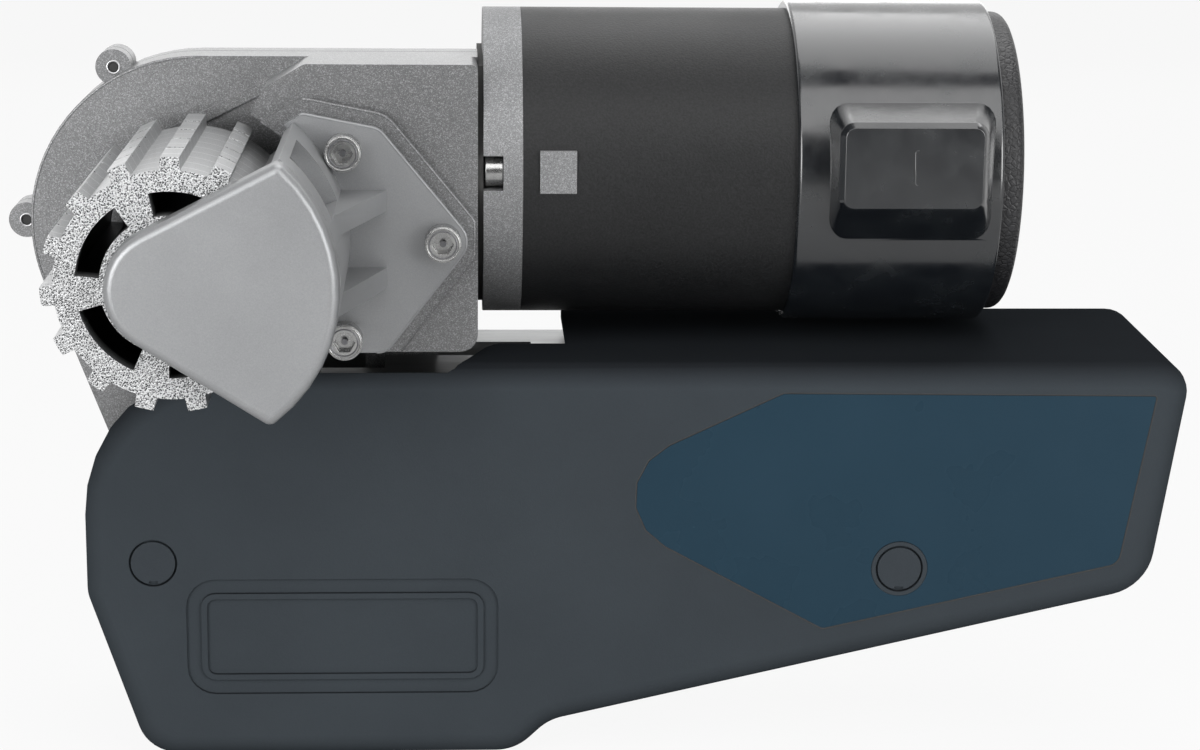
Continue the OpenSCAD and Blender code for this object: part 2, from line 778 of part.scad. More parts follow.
module actuator_saddles() {
    ends = [act_x0 + saddle_inset[0], act_head_x0 - saddle_inset[1]];
    color("lightslategray") for (x = ends) difference() {
        block([x, act_y - act_tube_r - saddle_rim[0], rod_z - act_tube_r - saddle_rim[1]],
            [x + saddle_t, -base_wall, rod_z + act_tube_r + saddle_rim[1]]);
        on_actuator() rod_x(act_tube_r, x - 1, x + saddle_t + 1);
    }
}

// Gearbox

front_split = -parting - gasket_t;
plate_back = -parting + 7;
ear_r = 13.3;
ear_y1 = fork_y0 - 1;
foot_angle = -asin((block_bottom - roller_down) / lobe_r);
guard_in_r = guard_r - guard_wall;
throat_r = guard_in_r - 1.5;
face_wall = 5;
cavity_x0 = worm_bearing_x + worm_bearing[1];
cavity_x1 = block_right - face_wall;
gear_room_r = gear_r + spur_module + 0.7;
seal_r = 13;
lay_boss_r = lay_bearing[0] + 2.5;
screw_end = -block_front + 6;
block_screw_tip = front_split - 15;
lobe_screw_tip = front_split - 6;
lobe_points = [for (a = lobe_screw_angles) polar(roller_at, lobe_screw_ring, a)];
corner_r = 5;

// Outline of the flange in the parting plane
drive_outline = concat(
    arc(roller_at, lobe_r, 90, 360 + foot_angle, 44),
    corner_arc([0, -block_bottom], [block_right, -block_bottom], [block_right, 0], corner_r, 6),
    [[block_right, block_top]]
);

// Outline of the motor block in front of the lobe, before the roller's throat is cut
block_outline = rounded([
    [10, -block_bottom, 1], [block_right, -block_bottom, corner_r], [block_right, block_top, 2],
    [30.5, block_top, 3], [19.5, block_top - 6.5, 4], [10, block_top - 25, 2]
], 5);
room_outline = [
    [cavity_x1, -block_bottom + cast_wall], [cavity_x1, block_top - cast_wall],
    [32, block_top - cast_wall], [26, block_top - cast_wall - 4], [26, -block_bottom + cast_wall]
];

module gear_rooms(y1) {
    at(roller_at) rod_y(gear_room_r, -lobe_front + cast_wall, y1);
    difference() {
        slab(room_outline, -block_front + cast_wall, y1);
        at(roller_at) rod_y(throat_r + cast_wall, -block_front, -lobe_front + cast_wall);
    }
}

// Points of the screws that hold the motor's end frame, as turns about the motor axis
module at_frame_screws(front) {
    middle = front ? 180 : 0;
    for (a = [middle - frame_screw_angle, middle + frame_screw_angle])
        translate([0, frame_screw_r * cos(a), frame_screw_r * sin(a)]) children();
}

// Raised pad under the roller bracket's flange
pad_y = -block_front - pad_h;
flange_y0 = pad_y - flange_t;
flange_outline = rounded([
    [18, -46.4, 3], [52.5, -46.4, 5], [76.5, -15.2, 6], [51, 15.8, 5], [30.2, 19.9, 2.5], [18, 12.5, 3]
], 5);

// Low rib that runs down the lobe's front wall from the corner of the motor block
rib_from = [28.5, block_top - 3.5];
rib_to = [-10.5, block_top - 22.9];
rib_w = 3;
rib_h = 1.2;

module gearbox_front() {
    color("#a2a4a6") on_drive() difference() {
        union() {
            difference() {
                union() {
                    slab(drive_outline, -lobe_front, front_split);
                    difference() {
                        slab(block_outline, -block_front, -lobe_front + eps);
                        at(roller_at) rod_y(throat_r, -block_front - 1, -lobe_front);
                    }
                    slab(belt([concat(roller_at, lobe_r - 0.4), concat(lug_left, ear_r)]),
                        -lobe_front, ear_y1);
                    difference() {
                        intersection() {
                            slab(inset(flange_outline, -pad_grow), pad_y, -block_front + 1);
                            block([0, pad_y - 1, -block_bottom + 1], [block_right - 1, 0, block_top - 1]);
                        }
                        at(roller_at) rod_y(throat_r, pad_y - 1, -lobe_front);
                    }
                    at_points(lobe_points) rod_y(lobe_lug_r, lobe_screw_tip, front_split);
                    at(roller_at) rod_y(roller_bearing[0] + 3.5, boss_y0, -lobe_front + 1);
                    slab(belt([concat(rib_from, rib_w / 2), concat(rib_to, rib_w / 2)], 4),
                        -lobe_front - rib_h, -lobe_front + 1);
                }
                gear_rooms(front_split + 1);
            }
            at(lay_at) rod_y(lay_boss_r, -block_front + 1, lay_front_y + lay_bearing[1]);
            at_points(bracket_points) rod_y(corner_r, -block_front + 1, screw_end);
            at_points(block_points) rod_y(boss_r, -block_front + 1, front_split);
        }
        at(roller_at) {
            rod_y(seal_r, boss_y0 - 1, front_bearing_y + 1);
            rod_y(roller_bearing[0], front_bearing_y, -lobe_front + cast_wall + 1);
        }
        at(lay_at) rod_y(lay_bearing[0], lay_front_y, -parting);
        at_points(bracket_points) rod_y(m6[0], pad_y - 1, screw_end + 1);
        at_points(block_points) rod_y(m4[0], block_screw_tip, front_split + 1);
        at_points(lobe_points) rod_y(m4[0], lobe_screw_tip - 1, front_split + 1);
        at_frame_screws(true) rod_x(m5[0], cavity_x1 - 1, block_right + 1);
        at(lug_left) rod_y(pin_r + run, -lobe_front - 1, ear_y1 + 1);
    }
}

// Side profile [y, z] of the rear casting, whose top falls away to the back, and of the room in it
rear_drop = 7;
rear_profile = rounded([
    [-parting, -block_bottom, 0.5], [block_back, -block_bottom, 8],
    [block_back, block_top - rear_drop, 10], [-parting, block_top - 0.5, 0.5]
], 5);
rear_room = [
    [-parting - 1, -block_bottom + cast_wall], [block_back - 8, -block_bottom + cast_wall],
    [block_back - cast_wall, -block_bottom + 8], [block_back - cast_wall, block_top - rear_drop - 9],
    [block_back - 9, block_top - rear_drop - cast_wall - 0.5], [-parting - 1, block_top - cast_wall - 0.5]
];
module side_slab(pts, x0, x1) {
    translate([x0, 0, 0]) rotate([90, 0, 90]) linear_extrude(x1 - x0) polygon(pts);
}

module lug(p, root_z) {
    slab(belt([[p[0], root_z, lug_neck_r], [p[0], p[1], lug_r]]), lug_y0, lug_y1);
}

module gearbox_rear() {
    color("#98999b") on_drive() difference() {
        union() {
            difference() {
                union() {
                    slab(drive_outline, -parting, plate_back);
                    side_slab(rear_profile, block_left, block_right);
                    at(roller_at)
                        rod_y(roller_bearing[0] + 4.5, -parting, rear_bearing_y + roller_bearing[1] + 3);
                    lug(lug_left, roller_at[1] - 28);
                    lug(lug_right, -block_bottom + 6);
                    at_points(lobe_points) rod_y(lobe_lug_r, -parting, plate_back);
                }
                side_slab(rear_room, cavity_x0, cavity_x1);
            }
            intersection() {
                side_slab(rear_profile, block_left, block_right);
                union() {
                    at(lay_at) rod_y(lay_boss_r, lay_back_y, block_back - 1);
                    at_points(block_points) rod_y(boss_r, -parting, block_back - 1);
                }
            }
        }
        at(roller_at) rod_y(roller_bearing[0], -parting - 1, rear_bearing_y + roller_bearing[1]);
        at(lay_at) rod_y(lay_bearing[0], -parting, lay_back_y + lay_bearing[1]);
        at_points(block_points) {
            rod_y(m4[0], -parting - 1, block_back + 1);
            rod_y(m4[1], block_back - m4[2], block_back + 1);
        }
        at_points(lobe_points) rod_y(m4[0], -parting - 1, plate_back + 1);
        rod_x(worm_bearing[0], worm_bearing_x, cavity_x0 + 1);
        rod_x(motor_bearing[0], cavity_x1 - 1, block_right + 1);
        at_frame_screws(false) {
            rod_x(m5[0], cavity_x1 - 1, block_right + 1);
            rod_x(m5[1] + gap, cavity_x1 - m5[2] - 1, cavity_x1);
        }
        at_points([lug_left, lug_right]) rod_y(bush_r, lug_y0 - 1, lug_y1 + 1);
    }
}

module gearbox_gasket() {
    color("#3a3a38") on_drive() difference() {
        union() {
            slab(drive_outline, front_split, -parting);
            at_points(lobe_points) rod_y(lobe_lug_r, front_split, -parting);
        }
        at(roller_at) rod_y(gear_room_r, front_split - 1, -parting + 1);
        slab(room_outline, front_split - 1, -parting + 1);
        at_points(lobe_points) rod_y(m4[0], front_split - 1, -parting + 1);
    }
}

// Screws driven from the back: short ones in the lobe's lugs, long ones through the block
module gearbox_screws() {
    color("lightgray") on_drive() mirror([0, 1, 0]) {
        at_points(lobe_points) socket_screw(m4, -plate_back - m4[2], -lobe_screw_tip - 1);
        at_points(block_points) socket_screw(m4, -block_back, -block_screw_tip - 1);
    }
}

module lug_bushes() {
    color("peru") on_drive() at_points([lug_left, lug_right]) ring_y(bush_r, pin_r + run, lug_y0, lug_y1);
}

// Roller bracket

guard_corner = 2.5;
gusset_rise = [11.2, -10.3];
gusset_foot_x = guard_in_r + 1.5;
gusset_tip_x = guard_r + 10;
gusset_h = 42;
gusset_t = 5.8;
window_angles = [20, 46];
window_y0 = nose_y1 + 12.5;
window_w = 31;
bracket_circles = [
    concat(polar(roller_at, guard_r - guard_corner, guard_corner - guard_low), guard_corner),
    concat(roller_at, guard_r),
    concat(polar(roller_at, guard_r - guard_corner, guard_up - guard_corner), guard_corner),
    concat(roller_at, nose_r)
];

module roller_bracket() {
    color("#b9bbbd") on_drive() difference() {
        union() {
            pillow(belt(bracket_circles, 12), nose_y0, nose_y1, nose_fillet);
            at(roller_at)
                slab(sector(guard_in_r, guard_r, -guard_low, guard_up, 20), nose_y1 - eps, pad_y);
            difference() {
                slab(flange_outline, flange_y0, pad_y);
                at(roller_at) rod_y(guard_in_r + guard_wall / 2, flange_y0 - 1, pad_y + 1);
            }
            at(roller_at) for (z = gusset_rise) translate([0, 0, z - gusset_t / 2]) linear_extrude(gusset_t)
                polygon([
                    [gusset_foot_x, flange_y0 - gusset_h], [gusset_foot_x, flange_y0 + 1],
                    [gusset_tip_x, flange_y0 + 1], [gusset_tip_x, flange_y0]
                ]);
        }
        at(roller_at) {
            slab(sector(guard_in_r - 5, guard_r + 5, window_angles[0], window_angles[1]),
                window_y0, window_y0 + window_w);
            rod_y(outer_bush_r, nose_y1 - journal_depth, nose_y1 + 1);
        }
        at_points(bracket_points) rod_y(m6[0] + 0.2, flange_y0 - 1, pad_y + 1);
    }
}

module bracket_screws() {
    color("gainsboro") on_drive() at_points(bracket_points) socket_screw(m6, flange_y0 - m6[2], screw_end);
}

module outer_bush() {
    color("peru") on_drive() at(roller_at)
        ring_y(outer_bush_r, journal_r + run, nose_y1 - journal_depth, nose_y1);
}

module output_bearings() {
    color("silver") on_drive() at(roller_at) for (y = [front_bearing_y, rear_bearing_y])
        translate([0, y, 0]) bearing(roller_bearing[0], roller_shaft_r + run, roller_bearing[1]);
}

module output_seal() {
    color("#222222") on_drive() at(roller_at) ring_y(seal_r, roller_shaft_r + run, boss_y0, front_bearing_y);
}

module layshaft_bearings() {
    color("silver") on_drive() at(lay_at) for (y = [lay_front_y, lay_back_y])
        translate([0, y, 0]) bearing(lay_bearing[0], lay_shaft_r + run, lay_bearing[1]);
}

module worm_end_bearing() {
    color("silver") on_drive() along_x(worm_bearing_x)
        bearing(worm_bearing[0], worm_shaft_r + run, worm_bearing[1]);
}

// Motor, about the motor axis

bolt_at = [bolt_ring_r * cos(bolt_lift), bolt_ring_r * sin(bolt_lift)];
tongue_z = [-2.8, 9.1];
tongue_proud = 0.6;
lug_start = 4.6;

module at_bolts() { for (s = [-1, 1]) translate([0, s * bolt_at[0], bolt_at[1]]) children(); }

module motor_gasket() {
    color("#2c2c2b") on_drive() intersection() {
        difference() {
            rod_x(motor_r - 3, block_right, frame_x0);
            rod_x(motor_bearing[0], block_right - 1, frame_x0 + 1);
            for (front = [true, false]) at_frame_screws(front) rod_x(m5[0], block_right - 1, frame_x0 + 1);
        }
        block([block_right - 1, -motor_r, -motor_r], [frame_x0 + 1, motor_r, block_top - 2]);
    }
}

module motor_end_frame() {
    color("#b4b6b8") on_drive() difference() {
        union() {
            rod_x(motor_r, frame_x0, tube_x0);
            ring_x(tube_in_r, spigot_hole_r, tube_x0 - eps, tube_x0 + spigot_w);
            block([tube_x0, -tube_in_r + 1.2, tongue_z[0]],
                [tube_x0 + tongue[0], -tube_in_r + tongue[1], tongue_z[1]]);
            block([tube_x0 + lug_start, -motor_r - tongue_proud, tongue_z[0]],
                [tube_x0 + tongue[0], -tube_in_r + 2, tongue_z[1]]);
        }
        rod_x(motor_bearing[0], front_bearing_x, tube_x0 + 1);
        rod_x(motor_shaft_r + 2, frame_x0 - 1, front_bearing_x + 1);
        at_bolts() {
            rod_x(bolt_r, frame_x0 - 1, tube_x0 + tongue[0] + 1);
            rod_x(bolt_pocket[1] / 2, frame_x0 - 1, frame_x0 + bolt_pocket[0]);
        }
        for (s = [-1, 1]) translate([frame_x0 - 1, s * (bolt_at[0] + bolt_pocket[2] / 2), bolt_at[1]])
            translate([0, -bolt_pocket[2] / 2, -bolt_pocket[1] / 2])
                cube([bolt_pocket[0] + 1, bolt_pocket[2], bolt_pocket[1]]);
        for (front = [true, false]) at_frame_screws(front) rod_x(m5[0], frame_x0 - 1, tube_x0 - 2);
    }
}

// Screws from inside the gearbox into the end frame
module end_frame_screws() {
    color("gainsboro") on_drive() for (front = [true, false]) at_frame_screws(front)
        along_x(0) socket_screw(m5, cavity_x1 - m5[2], tube_x0 - 3);
}

module motor_tube() {
    color("#26272a") on_drive() difference() {
        rod_x(motor_r, tube_x0, tube_x1);
        rod_x(tube_in_r, tube_x0 - 1, tube_x1 + 1);
        block([tube_x0 + lug_start, -motor_r - 1, tongue_z[0]],
            [tube_x0 + tongue[0], -motor_r + 8, tongue_z[1]]);
        at_terminals() rod_y(terminal_base_r, -motor_r - 1, -motor_r + 8);
    }
}

module motor_magnets() {
    color("#3b3a3d") on_drive() for (a = [90, 270])
        side_slab(sector(magnet_r, tube_in_r, a - 52, a + 52, 20), magnet_x0, magnet_x0 + magnet_length);
}

module motor_through_bolts() {
    color("gainsboro") on_drive() at_bolts() {
        rod_x(bolt_head[0], frame_x0 + bolt_pocket[0] - bolt_head[1], frame_x0 + bolt_pocket[0]);
        rod_x(bolt_r, frame_x0 + bolt_pocket[0] - eps, tube_x1 + 3);
    }
}

// Solid of revolution about X from a profile [x, radius]
module turned(profile) { rotate([0, 90, 0]) rotate_extrude() polygon([for (p = profile) [p[1], p[0]]]); }

cap_r = motor_r - 0.7;
cap_corner = 3;
cap_spigot = 6;
cap_floor = 3;

module motor_end_cap() {
    edge = arc([cap_x1 - cap_corner, cap_r - cap_corner], cap_corner, 90, 0, 6);
    color("#1f2022") on_drive() difference() {
        union() {
            turned(concat([[tube_x1, 0], [tube_x1, cap_r]], edge, [[cap_x1, 0]]));
            ring_x(tube_in_r, tube_in_r - 3, tube_x1 - cap_spigot, tube_x1 + eps);
            rod_x(motor_bearing[0] + 3, rear_bearing_x, tube_x1 + eps);
        }
        rod_x(motor_bearing[0], rear_bearing_x - 1, rear_bearing_x + motor_bearing[1]);
        at_bolts() rod_x(bolt_r, tube_x1 - cap_spigot - 1, tube_x1 + cap_floor);
    }
}

// Terminal sleeve: a rolled band with a box over the terminals
box_x0 = sleeve_x0 + 8;
box_front_y = -motor_r - 13;
box_base = rounded([
    [box_x0, -20, 6], [box_x0 + 48.5, -20, 6], [box_x0 + 48.5, 23, 6], [box_x0, 23, 6]
], 5);
box_face = rounded([
    [box_x0 + 2, -6, 4], [box_x0 + 43, -6, 4], [box_x0 + 43, 19, 4], [box_x0 + 2, 19, 4]
], 5);
box_root_y = -motor_r + 6;
box_edge = 1.5;
terminal_x = [box_x0 + 13, box_x0 + 33];
terminal_z = 6.5;
terminal_base_r = 5;

module at_terminals() { at_points([for (x = terminal_x) [x, terminal_z]]) children(); }

module terminal_sleeve() {
    lip = sleeve_wall / 2;
    band = concat(
        [[sleeve_x0, motor_r]],
        arc([sleeve_x0 + lip, sleeve_r - lip], lip, 180, 90, 4),
        arc([sleeve_x1 - lip, sleeve_r - lip], lip, 90, 0, 4),
        [[sleeve_x1, motor_r]]
    );
    color("#23262b") on_drive() difference() {
        union() {
            turned(band);
            loft([
                [box_front_y, inset(box_face, box_edge)],
                [box_front_y + box_edge, box_face],
                [box_root_y, box_base]
            ]);
        }
        rod_x(motor_r, sleeve_x0 - 1, sleeve_x1 + 1);
        loft([[box_front_y + 2, inset(box_face, 2)], [box_root_y - eps, inset(box_base, 2.5)]]);
    }
}

module motor_terminals() {
    color("goldenrod") on_drive() at_terminals() {
        rod_y(terminal_base_r, -motor_r - 1.5, -tube_in_r - 0.3);
        rod_y(2.5, -motor_r - 9, -motor_r);
        translate([0, -motor_r - 5, 0]) rotate([-90, 0, 0]) cylinder(r = 4, h = 3.6, $fn = 6);
    }
}

brush_x = brush_plate_x0 - brush[0] - 1.5;
brush_gap = 0.3;
brush_wall = 1.5;

module brush_holder() {
    color("#6b4a2f") on_drive() difference() {
        union() {
            ring_x(tube_in_r, comm_r + 3, brush_plate_x0, brush_plate_x0 + brush_plate_t);
            for (s = [0, 180]) rotate([s, 0, 0])
                block([brush_x - brush_wall, -brush[1] / 2 - brush_wall, comm_r + 3],
                    [brush_plate_x0 + eps, brush[1] / 2 + brush_wall, comm_r + brush[2] + 2]);
        }
        for (s = [0, 180]) rotate([s, 0, 0])
            block([brush_x, -brush[1] / 2, comm_r],
                [brush_x + brush[0], brush[1] / 2, comm_r + brush[2] + 3]);
        at_bolts() rod_x(bolt_r, brush_plate_x0 - 1, brush_plate_x0 + brush_plate_t + 1);
    }
}

module carbon_brushes() {
    color("#2a2a2a") on_drive() for (s = [0, 180]) rotate([s, 0, 0])
        block([brush_x, -brush[1] / 2, comm_r + brush_gap],
            [brush_x + brush[0], brush[1] / 2, comm_r + brush[2]]);
}

module armature_bearings() {
    color("silver") on_drive() for (x = [front_bearing_x, rear_bearing_x])
        along_x(x) bearing(motor_bearing[0], motor_shaft_r + run, motor_bearing[1]);
}

// Roller

tooth_half = asin(roller_tooth_w / 2 / roller_tip_r);
tooth_foot = asin((roller_tooth_w / 2 + 0.25) / roller_root_r);
tooth_step = 360 / roller_teeth;
tooth_phase = 89;
slot_phase = 77;
slot_half = 25;
tooth_grooves = 4;
groove = [1, 0.8];
roller_outline = [
    for (t = [0:roller_teeth - 1])
        let (a = tooth_phase + t * tooth_step)
        each concat(
            arc([0, 0], roller_tip_r, a - tooth_half, a + tooth_half, 2),
            arc([0, 0], roller_root_r, a + tooth_foot, a + tooth_step - tooth_foot, 4)
        )
];
key_y0 = (roller_y0 + roller_y1 - key[2]) / 2;

module key_slot() {
    block([-key[0] / 2, key_y0, roller_shaft_r - key[1] / 2],
        [key[0] / 2, key_y0 + key[2], roller_shaft_r + key[1] / 2]);
}

module drive_roller() {
    color("#c3c4c5") on_drive() at(roller_at) difference() {
        slab(roller_outline, roller_y0, roller_y1);
        rod_y(roller_shaft_r, roller_y0 - 1, roller_y1 + 1);
        for (i = [0:roller_slots - 1])
            let (a = slot_phase + i * 360 / roller_slots)
            slab(sector(slot_inner_r, slot_outer_r, a - slot_half, a + slot_half),
                roller_y0 - 1, roller_y1 + 1);
        for (i = [1:tooth_grooves])
            let (y = roller_y0 + roller_length * i / (tooth_grooves + 1))
            ring_y(roller_tip_r + 1, roller_tip_r - groove[1], y, y + groove[0]);
        key_slot();
    }
}

module roller_shaft() {
    color("gainsboro") on_drive() at(roller_at) difference() {
        union() {
            rod_y(journal_r, nose_y1 - journal_depth + gap, roller_y0 + eps);
            rod_y(roller_shaft_r, roller_y0, rear_bearing_y + roller_bearing[1]);
        }
        key_slot();
    }
}

module roller_key() { color("darkgray") on_drive() at(roller_at) key_slot(); }

module roller_washer() {
    color("lightgray") on_drive() at(roller_at)
        ring_y(journal_r + 8.5, journal_r, roller_y0 - roller_gap + 0.4, roller_y0);
}

// Gears

mesh_angle = angle_of(lay_at - roller_at);

module output_gear() {
    color("#8f8a80") on_drive() at(roller_at) difference() {
        slab(gear_outline(gear_teeth, spur_module, mesh_angle), gear_y0, gear_y1);
        rod_y(roller_shaft_r, gear_y0 - 1, gear_y1 + 1);
        ring_y(gear_r - 5, roller_shaft_r + 6, gear_y0 - 1, gear_y0 + 1.5);
    }
}

module layshaft() {
    color("gainsboro") on_drive() at(lay_at) {
        rod_y(lay_shaft_r, lay_front_y, lay_back_y + lay_bearing[1]);
        rod_y(lay_shaft_r + 2, gear_y1, -wheel_width / 2);
    }
}

module pinion() {
    color("#8f8a80") on_drive() at(lay_at) difference() {
        slab(gear_outline(pinion_teeth, spur_module, mesh_angle + 180 + 180 / pinion_teeth),
            gear_y0, gear_y1);
        rod_y(lay_shaft_r, gear_y0 - 1, gear_y1 + 1);
    }
}

wheel_twist = wheel_width * worm_module / 2 / worm_pitch_r / wheel_r * 180 / PI;

module worm_wheel() {
    color("#c9a25a") on_drive() at(lay_at) difference() {
        translate([0, wheel_width / 2, 0]) rotate([90, 0, 0])
            linear_extrude(wheel_width, twist = -wheel_twist, slices = 4)
                polygon(gear_outline(wheel_teeth, worm_module, 90 + 180 / wheel_teeth - wheel_twist / 2));
        rod_y(lay_shaft_r, -wheel_width, wheel_width);
    }
}

// Worm: radius of the thread's surface at a distance from the thread's middle
worm_half = worm_lead / 4 - backlash / 2;
worm_sides = 24;
worm_per_turn = 8;
worm_rows = round(worm_length / worm_lead * worm_per_turn);

function worm_radius(x, a) =
    let (turns = x / worm_lead - (a + 90) / 360, off = abs(turns - round(turns)) * worm_lead)
    max(worm_root_r, min(worm_tip_r, worm_pitch_r + (worm_half - off) / tan(pressure)));

module worm() {
    points = [
        for (j = [0:worm_rows], i = [0:worm_sides - 1])
            let (x = worm_length * (j / worm_rows - 0.5), a = 360 * i / worm_sides, r = worm_radius(x, a))
            [worm_mid + x, r * cos(a), r * sin(a)]
    ];
    n = worm_sides;
    sides = [
        for (j = [0:worm_rows - 1], i = [0:n - 1])
            let (a = j * n + i, b = j * n + (i + 1) % n)
            each [[a, a + n, b + n], [a, b + n, b]]
    ];
    start = [for (i = [0:n - 1]) i];
    stop = [for (i = [n - 1:-1:0]) worm_rows * n + i];
    color("#9a9c9e") on_drive() difference() {
        polyhedron(points, concat(sides, [start], [stop]));
        rod_x(worm_shaft_r, worm_mid - worm_length, worm_mid + worm_length);
    }
}

// Armature

module motor_shaft() {
    color("gainsboro") on_drive() {
        rod_x(worm_shaft_r, worm_bearing_x, worm_mid + worm_length / 2 + 1);
        rod_x(motor_shaft_r, worm_mid + worm_length / 2, rear_bearing_x + motor_bearing[1]);
    }
}

core_slot = [3, 9];

module armature_core() {
    color("#77797c") on_drive() difference() {
        ring_x(core_r, motor_shaft_r, core_x0, core_x0 + core_length);
        for (i = [0:core_slots - 1]) rotate([360 / core_slots * i, 0, 0])
            block([core_x0 - 1, -core_slot[0] / 2, core_r - core_slot[1]],
                [core_x0 + core_length + 1, core_slot[0] / 2, core_r + 1]);
    }
}

module armature_winding() {
    color("#b5672f") on_drive() for (x = [core_x0 - winding_w, core_x0 + core_length])
        ring_x(winding_r, motor_shaft_r, x, x + winding_w);
}

module commutator() {
    color("#c07a3c") on_drive() difference() {
        ring_x(comm_r, motor_shaft_r, comm_x0, comm_x0 + comm_length);
        for (i = [0:core_slots - 1]) rotate([360 / core_slots * (i + 0.5), 0, 0])
            block([comm_x0 - 1, -0.4, comm_r - 1.5], [comm_x0 + comm_length + 1, 0.4, comm_r + 1]);
    }
}

base_frame();
cover();
cover_label();
cover_plugs();
cover_screws();
lower_pivot_pins();
pin_clips();
pivot_spacers();
actuator_saddles();
actuator_tube();
actuator_gearhead();
actuator_motor();
actuator_rod();
swing_arm_left();
arm_bushes_left();
upper_pin_left();
swing_arm_right();
arm_bushes_right();
upper_pin_right();
lever_pin();
gearbox_front();
gearbox_rear();
gearbox_gasket();
gearbox_screws();
lug_bushes();
roller_bracket();
bracket_screws();
outer_bush();
output_bearings();
output_seal();
layshaft_bearings();
worm_end_bearing();
motor_gasket();
motor_end_frame();
end_frame_screws();
motor_tube();
motor_magnets();
motor_through_bolts();
motor_end_cap();
terminal_sleeve();
motor_terminals();
brush_holder();
carbon_brushes();
armature_bearings();
drive_roller();
roller_shaft();
output_gear();
roller_key();
roller_washer();
layshaft();
pinion();
worm_wheel();
motor_shaft();
worm();
armature_core();
armature_winding();
commutator();
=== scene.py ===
import json
import math

import bpy
from mathutils import Matrix, Vector
from mathutils.geometry import convex_hull_2d


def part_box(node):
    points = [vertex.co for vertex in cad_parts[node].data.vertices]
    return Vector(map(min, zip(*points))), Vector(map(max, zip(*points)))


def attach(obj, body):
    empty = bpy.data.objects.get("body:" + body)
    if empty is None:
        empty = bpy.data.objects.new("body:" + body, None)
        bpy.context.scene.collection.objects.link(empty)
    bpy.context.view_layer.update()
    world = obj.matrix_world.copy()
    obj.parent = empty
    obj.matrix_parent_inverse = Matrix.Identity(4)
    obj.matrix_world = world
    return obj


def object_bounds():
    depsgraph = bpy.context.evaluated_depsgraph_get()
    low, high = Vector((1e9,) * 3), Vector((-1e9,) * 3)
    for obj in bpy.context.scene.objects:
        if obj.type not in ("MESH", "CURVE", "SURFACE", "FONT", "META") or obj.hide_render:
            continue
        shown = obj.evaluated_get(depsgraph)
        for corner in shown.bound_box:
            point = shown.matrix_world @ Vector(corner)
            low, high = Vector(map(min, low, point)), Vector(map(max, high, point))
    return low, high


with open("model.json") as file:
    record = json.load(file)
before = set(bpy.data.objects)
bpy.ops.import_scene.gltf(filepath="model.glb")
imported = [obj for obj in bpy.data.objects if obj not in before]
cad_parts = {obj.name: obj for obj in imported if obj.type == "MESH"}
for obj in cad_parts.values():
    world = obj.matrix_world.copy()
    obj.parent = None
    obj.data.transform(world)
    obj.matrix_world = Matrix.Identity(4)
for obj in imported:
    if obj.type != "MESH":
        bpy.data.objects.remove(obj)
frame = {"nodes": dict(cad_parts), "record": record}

NODES = frame["nodes"]
CAD_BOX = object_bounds()
MM = 0.001


# Procedural materials, in object coordinates, which are metres in the part's own frame

# Range that most of a noise texture's values fall in
NOISE_LOW = 0.3
NOISE_HIGH = 0.7


